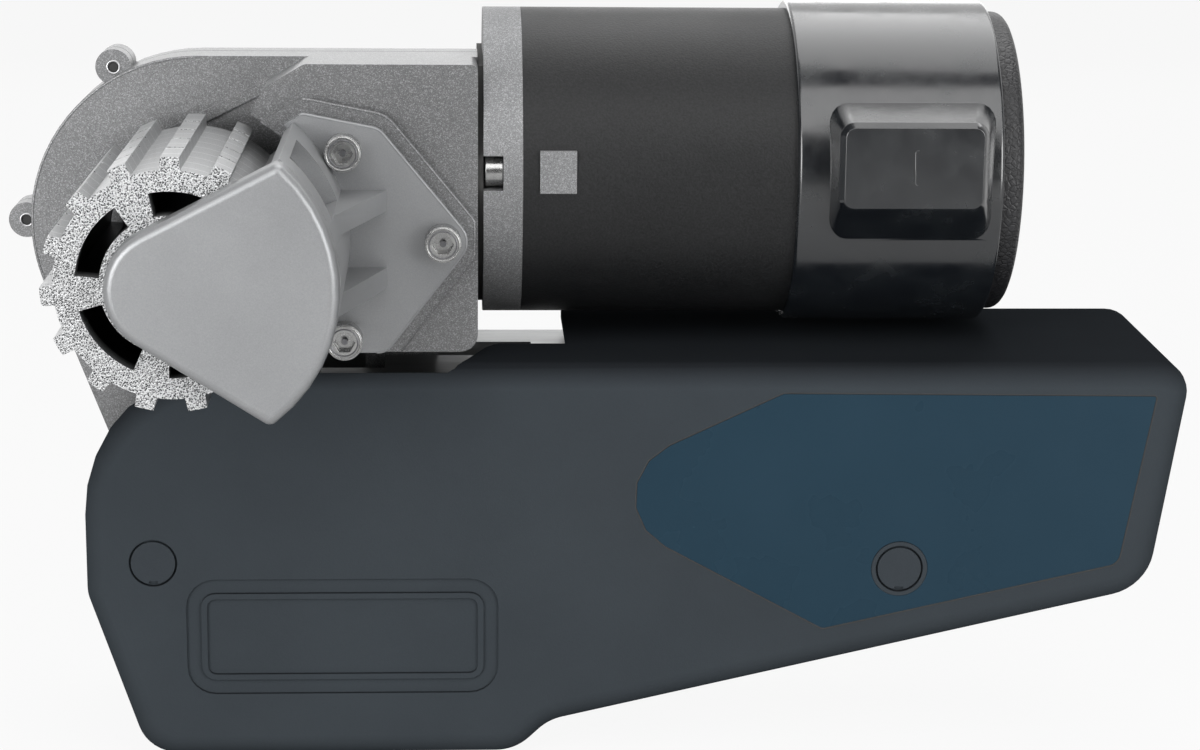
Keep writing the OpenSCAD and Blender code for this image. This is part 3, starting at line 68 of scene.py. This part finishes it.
class Look:
    """A node material that is built up one texture at a time."""

    def __init__(self, slot):
        self.slot = slot
        self.material = bpy.data.materials.new(slot + "_finish")
        self.material.use_nodes = True
        self.tree = self.material.node_tree
        self.bsdf = self.tree.nodes["Principled BSDF"]
        self.place = self.node("ShaderNodeTexCoord").outputs["Object"]

    def node(self, kind, **settings):
        made = self.tree.nodes.new(kind)
        for key, value in settings.items():
            setattr(made, key, value)
        return made

    def put(self, socket, value):
        """Links a texture to a socket, or sets a constant on it."""
        if isinstance(value, bpy.types.NodeSocket):
            self.tree.links.new(value, socket)
        elif isinstance(value, tuple) and len(value) == 3 and socket.type == "RGBA":
            socket.default_value = (*value, 1.0)
        else:
            socket.default_value = value

    def shade(self, **values):
        for key, value in values.items():
            self.put(self.bsdf.inputs[key.replace("_", " ")], value)

    def along(self, axis, vector):
        split = self.node("ShaderNodeSeparateXYZ")
        self.put(split.inputs[0], vector)
        return split.outputs[axis]

    def facing(self, axis):
        """How far the surface faces along an axis."""
        return self.along(axis, self.node("ShaderNodeTexCoord").outputs["Normal"])

    def stretched(self, stretch):
        mapping = self.node("ShaderNodeMapping")
        self.put(mapping.inputs["Vector"], self.place)
        mapping.inputs["Scale"].default_value = stretch
        return mapping.outputs["Vector"]

    def noise(self, scale, detail=3.0, rough=0.55, stretch=None):
        made = self.node("ShaderNodeTexNoise")
        self.put(made.inputs["Vector"], self.stretched(stretch) if stretch else self.place)
        made.inputs["Scale"].default_value = scale
        made.inputs["Detail"].default_value = detail
        made.inputs["Roughness"].default_value = rough
        return made.outputs["Fac"]

    def cells(self, scale, feature="F1", output="Distance"):
        made = self.node("ShaderNodeTexVoronoi", feature=feature)
        self.put(made.inputs["Vector"], self.place)
        made.inputs["Scale"].default_value = scale
        return made.outputs[output]

    def remap(self, value, low, high, to_low, to_high):
        made = self.node("ShaderNodeMapRange")
        self.put(made.inputs["Value"], value)
        made.inputs["From Min"].default_value = low
        made.inputs["From Max"].default_value = high
        made.inputs["To Min"].default_value = to_low
        made.inputs["To Max"].default_value = to_high
        return made.outputs["Result"]

    def ranged(self, noise, to_low, to_high):
        """A noise's usual range, set between two values."""
        return self.remap(noise, NOISE_LOW, NOISE_HIGH, to_low, to_high)

    def blend(self, share, first, second):
        made = self.node("ShaderNodeMix", data_type="RGBA")
        self.put(made.inputs["Factor"], share)
        self.put(made.inputs[6], first)
        self.put(made.inputs[7], second)
        return made.outputs[2]

    def math(self, operation, first, second):
        made = self.node("ShaderNodeMath", operation=operation)
        self.put(made.inputs[0], first)
        self.put(made.inputs[1], second)
        return made.outputs[0]

    def sum(self, first, second, weight):
        made = self.node("ShaderNodeMath", operation="MULTIPLY_ADD")
        self.put(made.inputs[0], second)
        self.put(made.inputs[1], weight)
        self.put(made.inputs[2], first)
        return made.outputs[0]

    def bump(self, height, strength, distance, under=None):
        made = self.node("ShaderNodeBump")
        self.put(made.inputs["Height"], height)
        self.put(made.inputs["Strength"], strength)
        made.inputs["Distance"].default_value = distance
        if under is not None:
            self.put(made.inputs["Normal"], under)
        return made.outputs["Normal"]


def surface(slot, dark, light, rough, metal=0.0, mottle=25, grain=2500, share=0.5, depth=0.05, **more):
    """A finish that drifts between two shades, with a fine grain in its colour, gloss and relief."""
    look = Look(slot)
    drift = look.noise(scale=mottle, detail=4.0)
    fine = look.noise(scale=grain, detail=2.0)
    mixed = look.sum(look.ranged(drift, 0.0, 1.0 - share), look.ranged(fine, 0.0, 1.0), share)
    look.shade(
        Base_Color=look.blend(mixed, dark, light),
        Metallic=metal,
        Roughness=look.ranged(drift, *rough),
        Normal=look.bump(fine, strength=0.6, distance=depth * MM),
        **more,
    )
    return look


def brushed(slot, dark, light, rough, stretch, scale=900):
    """Metal with fine lines that run along the axis that is stretched least."""
    look = Look(slot)
    drift = look.noise(scale=30, detail=4.0)
    lines = look.noise(scale=scale, detail=4.0, rough=0.6, stretch=stretch)
    look.shade(
        Base_Color=look.blend(look.sum(look.ranged(drift, 0.0, 0.5), lines, 0.5), dark, light),
        Metallic=1.0,
        Roughness=look.ranged(lines, *rough),
        Normal=look.bump(lines, strength=0.5, distance=0.02 * MM),
    )
    return look


FLAKE_TONE = (0.62, 0.62, 0.63)


def sprayed_casting(slot, dark, light, rough, flake, spread, depth, metal):
    """Die casting under a metallic spray: bright flakes in a satin coat, over a slightly uneven skin."""
    look = Look(slot)
    drift = look.noise(scale=35, detail=4.0)
    fleck = look.cells(scale=4400, output="Color")
    speck = look.noise(scale=3300, detail=3.0, rough=0.7)
    skin = look.noise(scale=420, detail=3.0)
    base = look.blend(look.ranged(drift, 0.0, 1.0), dark, light)
    shine = look.node("ShaderNodeSeparateColor")
    look.put(shine.inputs[0], fleck)
    bright = look.remap(shine.outputs[0], 0.66, 1.0, 0.0, flake)
    dim = look.remap(speck, 0.35, 0.65, 1.0 - spread, 1.0 + spread)
    toned = look.node("ShaderNodeVectorMath", operation="SCALE")
    look.put(toned.inputs[0], base)
    look.put(toned.inputs["Scale"], dim)
    under = look.bump(skin, strength=0.35, distance=0.06 * MM)
    look.shade(
        Base_Color=look.blend(bright, toned.outputs[0], FLAKE_TONE),
        Metallic=metal,
        Roughness=look.ranged(speck, *rough),
        Normal=look.bump(speck, strength=0.5, distance=depth * MM, under=under),
    )
    return look


# Roller: length of a tooth step, outer radius of the slots, and the shades of its surfaces; the step
# tone is a painted highlight along each step and the slot tone is painted shade deep in the slots
TOOTH_STEP = 8.7 * MM
STEP_LINE = 0.3 * MM
SLOT_OUTER = 24.3 * MM
SLOT_EDGE = 0.3 * MM
SLOT_DEPTHS = (0.5 * MM, 7.0 * MM)
GRIT_TONES = ((0.010, 0.011, 0.012), (0.56, 0.565, 0.57))
SIDE_TONES = ((0.30, 0.305, 0.31), (0.56, 0.565, 0.57))
# Painted highlight: the bright tone of the line along each tooth step
STEP_HIGHLIGHT_TONE = (0.85, 0.85, 0.86)
# Painted shade: the near-black tone deep in the slots
SLOT_PAINTED_SHADE = (0.003, 0.003, 0.003)


def painted_slot_shade(look):
    """Share of painted shade: 1 deep inside the roller's slots, 0 on its front face and outside the
    slots.
    """
    low, high = (Vector(corner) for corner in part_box("drive_roller"))
    middle = 0.5 * (low + high)
    flat = look.node("ShaderNodeVectorMath", operation="MULTIPLY")
    look.put(flat.inputs[0], look.place)
    flat.inputs[1].default_value = (1.0, 0.0, 1.0)
    axle = look.node("ShaderNodeVectorMath", operation="DISTANCE")
    look.put(axle.inputs[0], flat.outputs[0])
    axle.inputs[1].default_value = (middle.x, 0.0, middle.z)
    inside = look.remap(axle.outputs["Value"], SLOT_OUTER, SLOT_OUTER + SLOT_EDGE, 1.0, 0.0)
    start, end = (low.y + depth for depth in SLOT_DEPTHS)
    depth = look.remap(look.along("Y", look.place), start, end, 0.0, 1.0)
    return look.math("MULTIPLY", inside, depth)


def blasted(slot):
    """Cast aluminium: a coarse front face that glints like grit, smoother sides with step lines painted
    bright as a highlight, and painted shade deep in its slots.
    """
    look = Look(slot)
    grit = look.cells(scale=2100)
    fine = look.noise(scale=3400, detail=4.0, rough=0.7)
    height = look.sum(grit, fine, 0.8)
    front = look.remap(look.facing("Y"), -0.9, -0.6, 1.0, 0.0)
    wave = look.math("PINGPONG", look.along("Y", look.place), 0.5 * TOOTH_STEP)
    # Painted highlight: share of the bright step line
    step_highlight_share = look.remap(wave, 0.0, STEP_LINE, 1.0, 0.0)
    grit_tone = look.blend(look.remap(height, 0.62, 1.0, 0.0, 1.0), *GRIT_TONES)
    side_tone = look.blend(look.ranged(fine, 0.0, 1.0), *SIDE_TONES)
    side_tone = look.blend(look.remap(step_highlight_share, 0.0, 1.0, 0.0, 0.8), side_tone, STEP_HIGHLIGHT_TONE)
    tone = look.blend(front, side_tone, grit_tone)
    relief = look.remap(front, 0.0, 1.0, 0.25, 0.9)
    look.shade(
        # Painted shade: the slots darken to near black with depth
        Base_Color=look.blend(painted_slot_shade(look), tone, SLOT_PAINTED_SHADE),
        Metallic=0.75,
        Roughness=look.ranged(fine, 0.26, 0.46),
        Normal=look.bump(height, strength=relief, distance=0.2 * MM),
    )
    return look


def grained_plastic(slot, dark, light, rough, scale, depth):
    """Plastic with the wrinkled grain of a leather-textured mould."""
    look = Look(slot)
    edges = look.cells(scale=scale, feature="DISTANCE_TO_EDGE")
    fine = look.noise(scale=scale * 4, detail=3.0)
    height = look.sum(look.remap(edges, 0.0, 0.22, 0.0, 1.0), fine, 0.4)
    drift = look.noise(scale=30, detail=3.0)
    look.shade(
        Base_Color=look.blend(look.remap(height, 0.2, 1.2, 0.0, 1.0), dark, light),
        Roughness=look.ranged(drift, *rough),
        Normal=look.bump(height, strength=0.7, distance=depth * MM),
    )
    return look


# Painted shade: the darker tone that the cover's faces that point up are blended towards
PAINTED_TOP_SHADE = (0.006, 0.006, 0.007)


def moulded_cover(slot, dark, light):
    """Dull moulded plastic with a fine grain, and painted shade that darkens the faces that point up."""
    look = Look(slot)
    drift = look.noise(scale=25, detail=4.0)
    fine = look.noise(scale=2200, detail=2.0)
    # Painted shade: the more a face points up, the more it is darkened
    painted_top_share = look.remap(look.facing("Z"), 0.1, 0.92, 0.0, 0.66)
    tone = look.blend(look.sum(look.ranged(drift, 0.0, 0.5), fine, 0.5), dark, light)
    look.shade(
        Base_Color=look.blend(painted_top_share, tone, PAINTED_TOP_SHADE),
        Roughness=look.ranged(drift, 0.56, 0.66),
        Specular_IOR_Level=0.0,
        Normal=look.bump(fine, strength=0.6, distance=0.05 * MM),
    )
    return look


VINYL_TONES = ((0.005, 0.006, 0.008), (0.009, 0.011, 0.013))
BLOOM = (0.35, 0.7)


def dipped_vinyl(slot):
    """Soft vinyl, dip-moulded: glossy, slightly wavy, with a faint bloom."""
    look = Look(slot)
    wave = look.noise(scale=24, detail=1.0)
    bloom = look.noise(scale=110, detail=4.0)
    fine = look.noise(scale=2600, detail=2.0)
    under = look.bump(wave, strength=0.4, distance=1.2 * MM)
    look.shade(
        Base_Color=look.blend(look.remap(bloom, *BLOOM, 0.0, 1.0), *VINYL_TONES),
        Roughness=look.remap(bloom, *BLOOM, 0.16, 0.30),
        Specular_IOR_Level=0.9,
        Coat_Weight=0.6,
        Coat_Roughness=look.remap(bloom, *BLOOM, 0.10, 0.22),
        Normal=look.bump(fine, strength=0.15, distance=0.015 * MM, under=under),
    )
    return look


def casting_looks():
    """Sprayed castings: dark and light shade, roughness, flakes, spread, relief in mm and metal."""
    return [
        sprayed_casting("gearbox_casting", (0.185, 0.187, 0.190), (0.22, 0.222, 0.225), (0.32, 0.46),
                        flake=0.45, spread=0.24, depth=0.03, metal=0.7),
        sprayed_casting("bracket_casting", (0.285, 0.29, 0.297), (0.32, 0.325, 0.332), (0.34, 0.44),
                        flake=0.05, spread=0.06, depth=0.01, metal=0.5),
        sprayed_casting("end_frame_casting", (0.19, 0.193, 0.197), (0.24, 0.243, 0.247), (0.46, 0.62),
                        flake=0.4, spread=0.28, depth=0.03, metal=0.6),
        blasted("roller_aluminium"),
    ]


def plastic_looks():
    """Paint, vinyl, plastics, film and rubber."""
    return [
        surface("motor_paint", (0.003, 0.0033, 0.0036), (0.014, 0.0145, 0.0155), (0.42, 0.52),
                grain=1700, share=0.8, depth=0.16, Specular_IOR_Level=0.36),
        dipped_vinyl("sleeve_vinyl"),
        grained_plastic("cap_plastic", (0.009, 0.009, 0.010), (0.020, 0.020, 0.022), (0.38, 0.50),
                        scale=620, depth=0.16),
        moulded_cover("cover_plastic", (0.035, 0.041, 0.047), (0.043, 0.051, 0.058)),
        surface("plug_plastic", (0.030, 0.036, 0.042), (0.037, 0.044, 0.051), (0.44, 0.54),
                grain=2200, depth=0.03, Specular_IOR_Level=0.1),
        surface("label_film", (0.010, 0.030, 0.048), (0.013, 0.036, 0.057), (0.24, 0.34),
                grain=3200, depth=0.01, Specular_IOR_Level=0.2),
        surface("gearhead_paint", (0.085, 0.093, 0.10), (0.11, 0.12, 0.13), (0.36, 0.46), depth=0.04),
        surface("arm_casting", (0.14, 0.155, 0.17), (0.19, 0.21, 0.23), (0.42, 0.56),
                metal=0.2, grain=1400, depth=0.10),
        surface("gasket", (0.028, 0.028, 0.027), (0.045, 0.044, 0.042), (0.65, 0.80),
                grain=1200, depth=0.08),
        surface("seal_rubber", (0.014, 0.014, 0.014), (0.024, 0.024, 0.024), (0.50, 0.65),
                grain=1800, depth=0.03),
        surface("magnet", (0.050, 0.050, 0.054), (0.072, 0.072, 0.078), (0.50, 0.66),
                grain=1600, depth=0.05),
        surface("brush_board", (0.14, 0.075, 0.035), (0.22, 0.13, 0.07), (0.45, 0.60),
                mottle=300, depth=0.04),
        surface("carbon", (0.020, 0.020, 0.021), (0.040, 0.040, 0.042), (0.50, 0.70),
                grain=2000, depth=0.05),
    ]


GREY_STEEL = ((0.50, 0.50, 0.51), (0.68, 0.68, 0.69))


def metal_looks():
    """Bare metals."""
    return [
        surface("screw_steel", (0.36, 0.36, 0.36), (0.60, 0.60, 0.59), (0.20, 0.34),
                metal=1.0, mottle=260, grain=4200, depth=0.03),
        brushed("pin_steel", *GREY_STEEL, (0.20, 0.36), (0.04, 0.04, 1.0)),
        brushed("bearing_steel", *GREY_STEEL, (0.16, 0.30), (0.05, 0.05, 1.0)),
        brushed("zinc_plate", (0.21, 0.215, 0.215), (0.29, 0.295, 0.295), (0.36, 0.50),
                (0.04, 1.0, 1.0), scale=700),
        brushed("spring_steel", (0.15, 0.15, 0.16), (0.28, 0.28, 0.29), (0.30, 0.45), (1.0, 0.05, 1.0)),
        brushed("actuator_tube", (0.50, 0.51, 0.52), (0.64, 0.65, 0.66), (0.26, 0.42), (0.03, 1.0, 1.0)),
        brushed("gear_steel", (0.26, 0.25, 0.23), (0.42, 0.41, 0.38), (0.22, 0.38), (1.0, 0.05, 1.0)),
        brushed("core_steel", (0.16, 0.17, 0.18), (0.32, 0.33, 0.34), (0.34, 0.50),
                (1.0, 0.02, 0.02), scale=1500),
        surface("bronze", (0.36, 0.22, 0.09), (0.52, 0.35, 0.17), (0.28, 0.44),
                metal=1.0, mottle=120, depth=0.03),
        surface("brass_terminal", (0.46, 0.34, 0.13), (0.62, 0.48, 0.22), (0.22, 0.36),
                metal=1.0, mottle=160, depth=0.02),
        surface("copper", (0.46, 0.19, 0.07), (0.62, 0.30, 0.13), (0.24, 0.40),
                metal=1.0, mottle=200, depth=0.03),
    ]


MATERIALS = {look.slot: look.material for look in casting_looks() + plastic_looks() + metal_looks()}
for part in frame["record"]["subparts"]:
    mesh = NODES[part["node"]].data
    mesh.materials.clear()
    mesh.materials.append(MATERIALS[part["material_slot"]])


# Broken edges on the solids: welded faces, a small bevel on sharp edges, flat faces kept flat

EDGE_MM = {
    "gearbox_front": 1.0, "gearbox_rear": 0.7, "roller_bracket": 0.9, "drive_roller": 0.35,
    "motor_end_frame": 0.5, "motor_tube": 0.3, "terminal_sleeve": 0.5, "motor_end_cap": 0.4,
    "cover": 0.35, "cover_plugs": 0.3, "base_frame": 0.4, "swing_arm_left": 0.7,
    "swing_arm_right": 0.7, "bracket_screws": 0.35, "gearbox_screws": 0.3,
    "motor_through_bolts": 0.3, "actuator_saddles": 0.5, "actuator_rod": 0.4,
    "actuator_motor": 0.4, "actuator_gearhead": 0.4, "actuator_tube": 0.3, "pivot_spacers": 0.3,
    "pin_clips": 0.2, "lower_pivot_pins": 0.4, "cover_screws": 0.3, "cover_label": 0.15,
}
WELD_GAP = 0.002 * MM
FLAT_ANGLE = math.radians(0.4)
SHARP_ANGLE = math.radians(32)
BEVEL_STEPS = 3
NORMAL_WEIGHT = 80


def soften(node, width):
    solid = NODES[node]
    if "custom_normal" in solid.data.attributes:
        solid.data.attributes.remove(solid.data.attributes["custom_normal"])
    solid.data.shade_smooth()
    weld = solid.modifiers.new("weld", "WELD")
    weld.merge_threshold = WELD_GAP
    flat = solid.modifiers.new("flat", "DECIMATE")
    flat.decimate_type = "DISSOLVE"
    flat.angle_limit = FLAT_ANGLE
    edge = solid.modifiers.new("edge", "BEVEL")
    edge.width = width * MM
    edge.segments = BEVEL_STEPS
    edge.limit_method = "ANGLE"
    edge.angle_limit = SHARP_ANGLE
    normals = solid.modifiers.new("normals", "WEIGHTED_NORMAL")
    normals.weight = NORMAL_WEIGHT


for node, width in EDGE_MM.items():
    soften(node, width)


# Details too fine for the solids, in millimetres

# Screws that show from the front, as [x, z]
BRACKET_SCREWS = [(-109.16, 103.92), (-82.06, 79.02), (-109.16, 51.72)]
LOBE_SCREWS = [(-174.56, 122.48), (-200.16, 79.02), (-133.46, 32.31)]
# Y of the front faces of the lobe's lugs, the bracket's flange and the pad under it
LOBE_FACE = -41.5
FLANGE_FACE = -74.0
PAD_FACE = -69.5
# Left limit of the beads on flange and pad, and the lobe's rim with the steps of it that have a bead
EDGE_LEFT = -121.0
LOBE_CENTRE = (-150.46, -47.7, 79.02)
LOBE_EDGE_RADIUS = 47.1
LOBE_STEPS = 72
LOBE_ARC = range(18, 45)
# Radius of each ring and of its bead: screw rim, screw groove and hole rim
RIM_RING = (4.5, 0.3)
GROOVE_RING = (3.75, 0.22)
HOLE_RING = (1.75, 0.32)
# Radius, start and end of each rod behind its face: socket pin, and the dark rod of painted shade in
# each lobe screw hole
PIN_ROD = (0.9, 1.2, 3.2)
HOLE_SHADE_ROD = (1.5, 0.4, 1.2)
# How far rings and edge beads are set back from their faces
RING_SINK = 0.1
EDGE_SINK = 0.35
# Radius of the beads on edges, label and slit, and the slit's path as [x, z]
EDGE_BEAD = 0.45
LABEL_BEAD = 0.32
SLIT_BEAD = 0.22
SLIT_PATH = [(47.7, 105.3), (47.0, 105.4), (46.6, 104.8), (46.75, 96.5), (46.95, 95.9), (47.6, 95.8)]
# Largest distance from a face at which a corner counts as on it
ON_FACE = 0.05


def bead(name, path, radius, slot, body, closed=False):
    """Round bead along a path of points in millimetres."""
    curve = bpy.data.curves.new(name, "CURVE")
    curve.dimensions = "3D"
    curve.bevel_depth = radius * MM
    curve.bevel_resolution = 3
    curve.use_fill_caps = True
    line = curve.splines.new("POLY")
    line.points.add(len(path) - 1)
    for point, place in zip(line.points, path):
        point.co = (*(Vector(place) * MM), 1.0)
    line.use_cyclic_u = closed
    holder = bpy.data.objects.new(name + "_path", curve)
    made = bpy.data.objects.new(name, bpy.data.meshes.new_from_object(holder))
    bpy.data.objects.remove(holder)
    made.data.materials.append(MATERIALS[slot])
    bpy.context.scene.collection.objects.link(made)
    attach(made, body)


def circle(x, y, z, radius, steps=28):
    """Points of a circle that faces the front."""
    turns = [2 * math.pi * i / steps for i in range(steps)]
    return [(x + radius * math.cos(a), y, z + radius * math.sin(a)) for a in turns]


def ring(name, x, y, z, size, slot):
    """Closed bead in a circle on the drive unit."""
    radius, thickness = size
    bead(name, circle(x, y, z, radius), thickness, slot, "drive_unit", True)


def rod(name, x, y, z, size, slot):
    """Short rod on the drive unit that runs back from a face."""
    radius, start, end = size
    bead(name, [(x, y + start, z), (x, y + end, z)], radius, slot, "drive_unit")


def sleeve_slit():
    """Hooked slit line in the front of the terminal sleeve's box."""
    face_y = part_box("terminal_sleeve")[0][1] / MM
    bead("sleeve_slit", [(x, face_y, z) for x, z in SLIT_PATH], SLIT_BEAD, "sleeve_vinyl", "drive_unit")


def screw_details():
    """Rim, groove and socket pin of the bracket screws, and rim of the lobe's screw holes with a dark
    rod of painted shade in each.
    """
    face_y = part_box("bracket_screws")[0][1] / MM
    for i, (x, z) in enumerate(BRACKET_SCREWS):
        ring(f"screw_rim_{i}", x, face_y + RING_SINK, z, RIM_RING, "screw_steel")
        ring(f"screw_groove_{i}", x, face_y, z, GROOVE_RING, "spring_steel")
        rod(f"socket_pin_{i}", x, face_y, z, PIN_ROD, "spring_steel")
    for i, (x, z) in enumerate(LOBE_SCREWS):
        ring(f"hole_rim_{i}", x, LOBE_FACE + RING_SINK, z, HOLE_RING, "pin_steel")
        # Painted shade: a dark rubber rod set into each lobe screw hole
        rod(f"hole_core_{i}", x, LOBE_FACE, z, HOLE_SHADE_ROD, "seal_rubber")


def outline_at(node, face_y, sink):
    """Outline of a solid's flat face at a given Y, set back by a small amount."""
    corners = [vertex.co / MM for vertex in NODES[node].data.vertices]
    flat = [c for c in corners if abs(c.y - face_y) < ON_FACE]
    turn = convex_hull_2d([(c.x, c.z) for c in flat])
    return [(flat[i].x, face_y + sink, flat[i].z) for i in turn]


def right_of(path, left):
    """The part of a convex outline right of a limit, from its lower end to its upper end."""
    kept = [p for p in path if p[0] > left]
    level = sum(p[2] for p in kept) / len(kept)
    return sorted(kept, key=lambda p: math.atan2(p[2] - level, p[0] - left))


def face_edges():
    """Groove round the label, and the bright edges of the flange, the pad under it and the lobe."""
    label_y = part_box("cover_label")[0][1] / MM
    groove = outline_at("cover_label", label_y, RING_SINK)
    bead("label_groove", groove, LABEL_BEAD, "seal_rubber", "base", True)
    flange = right_of(outline_at("roller_bracket", FLANGE_FACE, EDGE_SINK), EDGE_LEFT)
    bead("flange_edge", flange, EDGE_BEAD, "bracket_casting", "drive_unit")
    pad = right_of(outline_at("gearbox_front", PAD_FACE, EDGE_SINK), EDGE_LEFT)
    bead("pad_edge", pad, EDGE_BEAD, "gearbox_casting", "drive_unit")
    rim = circle(*LOBE_CENTRE, LOBE_EDGE_RADIUS, LOBE_STEPS)
    bead("lobe_edge", [rim[i] for i in LOBE_ARC], EDGE_BEAD, "gearbox_casting", "drive_unit")


sleeve_slit()
screw_details()
face_edges()


# Studio: pale floor, soft lamps, white background and the photograph's camera, in metres

FLOOR_DROP = 0.4 * MM
FLOOR_HALF = 6.0
FLOOR_TONES = ((0.52, 0.52, 0.52), (0.56, 0.56, 0.56))
FLOOR_WHITE = 0.92
WORLD_LEVEL = 0.08
# Depths between which the white behind the object fades in
BACK_FADE = (-0.15, 0.45)
MIDDLE = (-0.04, -0.05, 0.04)
MOTOR_TOP = (0.05, 0.0, 0.09)
# Lamps: name, place, aim, size and watts
LAMPS = [
    ("front_left", (-0.80, -1.00, 0.25), MIDDLE, (0.7, 0.6), 9.0),
    ("front_right", (0.80, -1.00, 0.25), MIDDLE, (0.7, 0.6), 7.4),
    ("front_top", (0.00, -0.75, 0.78), MIDDLE, (1.7, 0.6), 7.0),
    ("top_softbox", (0.15, 0.25, 1.00), MOTOR_TOP, (0.9, 1.1), 6.0),
    ("back_panel", (-0.10, 1.50, 0.40), MIDDLE, (1.6, 0.35), 2.5),
]
# Camera: place in millimetres, yaw, pitch and roll in degrees, lens and sensor in millimetres
CAMERA_PLACE = (-77.8, -840.9, 221.3)
CAMERA_TURN = (2.93, 13.2, 0.6)
CAMERA_LENS = 85.0
CAMERA_SENSOR = 36.0
CAMERA_REACH = 50.0


def joined(tree, operation, first, second):
    """Result of a math operation on two sockets of a node tree."""
    made = tree.nodes.new("ShaderNodeMath")
    made.operation = operation
    tree.links.new(first, made.inputs[0])
    tree.links.new(second, made.inputs[1])
    return made.outputs[0]


def behind(tree, direction):
    """1 towards the white background at the back, falling to 0 in front of the object."""
    split = tree.nodes.new("ShaderNodeSeparateXYZ")
    fade = tree.nodes.new("ShaderNodeMapRange")
    fade.inputs["From Min"].default_value = BACK_FADE[0]
    fade.inputs["From Max"].default_value = BACK_FADE[1]
    tree.links.new(direction, split.inputs[0])
    tree.links.new(split.outputs["Y"], fade.inputs["Value"])
    return fade.outputs["Result"]


def seen_white(tree, direction):
    """1 for rays from the camera, and for reflected or refracted rays that go to the back."""
    path = tree.nodes.new("ShaderNodeLightPath").outputs
    mirrored = joined(tree, "MAXIMUM", path["Is Glossy Ray"], path["Is Transmission Ray"])
    back = joined(tree, "MULTIPLY", mirrored, behind(tree, direction))
    return joined(tree, "MAXIMUM", path["Is Camera Ray"], back)


def studio_floor():
    mesh = bpy.data.meshes.new("floor")
    z = CAD_BOX[0][2] - FLOOR_DROP
    corners = [(-1, -1), (1, -1), (1, 1), (-1, 1)]
    mesh.from_pydata([(x * FLOOR_HALF, y * FLOOR_HALF, z) for x, y in corners], [], [(0, 1, 2, 3)])
    floor = bpy.data.objects.new("floor", mesh)
    bpy.context.scene.collection.objects.link(floor)
    look = Look("floor_pale")
    look.shade(Base_Color=look.blend(look.noise(scale=3.0), *FLOOR_TONES), Roughness=0.8)
    share = look.math("MULTIPLY", seen_white(look.tree, look.place), FLOOR_WHITE)
    white = look.node("ShaderNodeEmission")
    mixed = look.node("ShaderNodeMixShader")
    look.put(mixed.inputs[0], share)
    look.put(mixed.inputs[1], look.bsdf.outputs[0])
    look.put(mixed.inputs[2], white.outputs[0])
    look.put(look.tree.nodes["Material Output"].inputs["Surface"], mixed.outputs[0])
    mesh.materials.append(look.material)


def studio_world():
    world = bpy.data.worlds.new("studio")
    bpy.context.scene.world = world
    world.use_nodes = True
    tree = world.node_tree
    sky = tree.nodes["Background"]
    sky.inputs["Color"].default_value = (1.0, 1.0, 1.0, 1.0)
    direction = tree.nodes.new("ShaderNodeTexCoord").outputs["Generated"]
    strength = tree.nodes.new("ShaderNodeMapRange")
    strength.inputs["To Min"].default_value = WORLD_LEVEL
    strength.inputs["To Max"].default_value = 1.0
    tree.links.new(seen_white(tree, direction), strength.inputs["Value"])
    tree.links.new(strength.outputs["Result"], sky.inputs["Strength"])


def lamp(name, place, aim, size, power):
    light = bpy.data.lights.new(name, "AREA")
    light.shape = "RECTANGLE"
    light.size, light.size_y = size
    light.energy = power
    made = bpy.data.objects.new(name, light)
    made.location = place
    made.rotation_euler = (Vector(aim) - Vector(place)).to_track_quat("-Z", "Y").to_euler()
    bpy.context.scene.collection.objects.link(made)


def photo_camera():
    """The photograph's camera, turned by its yaw, pitch and roll."""
    yaw, pitch, roll = (math.radians(a) for a in CAMERA_TURN)
    level_ahead = math.cos(pitch)
    ahead = Vector((math.sin(yaw) * level_ahead, math.cos(yaw) * level_ahead, -math.sin(pitch)))
    level = Vector((math.cos(yaw), -math.sin(yaw), 0.0))
    right = level * math.cos(roll) + level.cross(ahead) * math.sin(roll)
    up = right.cross(ahead)
    data = bpy.data.cameras.new("photo_camera")
    data.lens = CAMERA_LENS
    data.sensor_width = CAMERA_SENSOR
    data.clip_end = CAMERA_REACH
    camera = bpy.data.objects.new("photo_camera", data)
    bpy.context.scene.collection.objects.link(camera)
    turn = Matrix((right, up, -ahead)).transposed().to_4x4()
    camera.matrix_world = Matrix.Translation(Vector(CAMERA_PLACE) * MM) @ turn
    bpy.context.scene.camera = camera


studio_floor()
studio_world()
for lamp_values in LAMPS:
    lamp(*lamp_values)
photo_camera()
bpy.context.scene.view_settings.view_transform = "Standard"
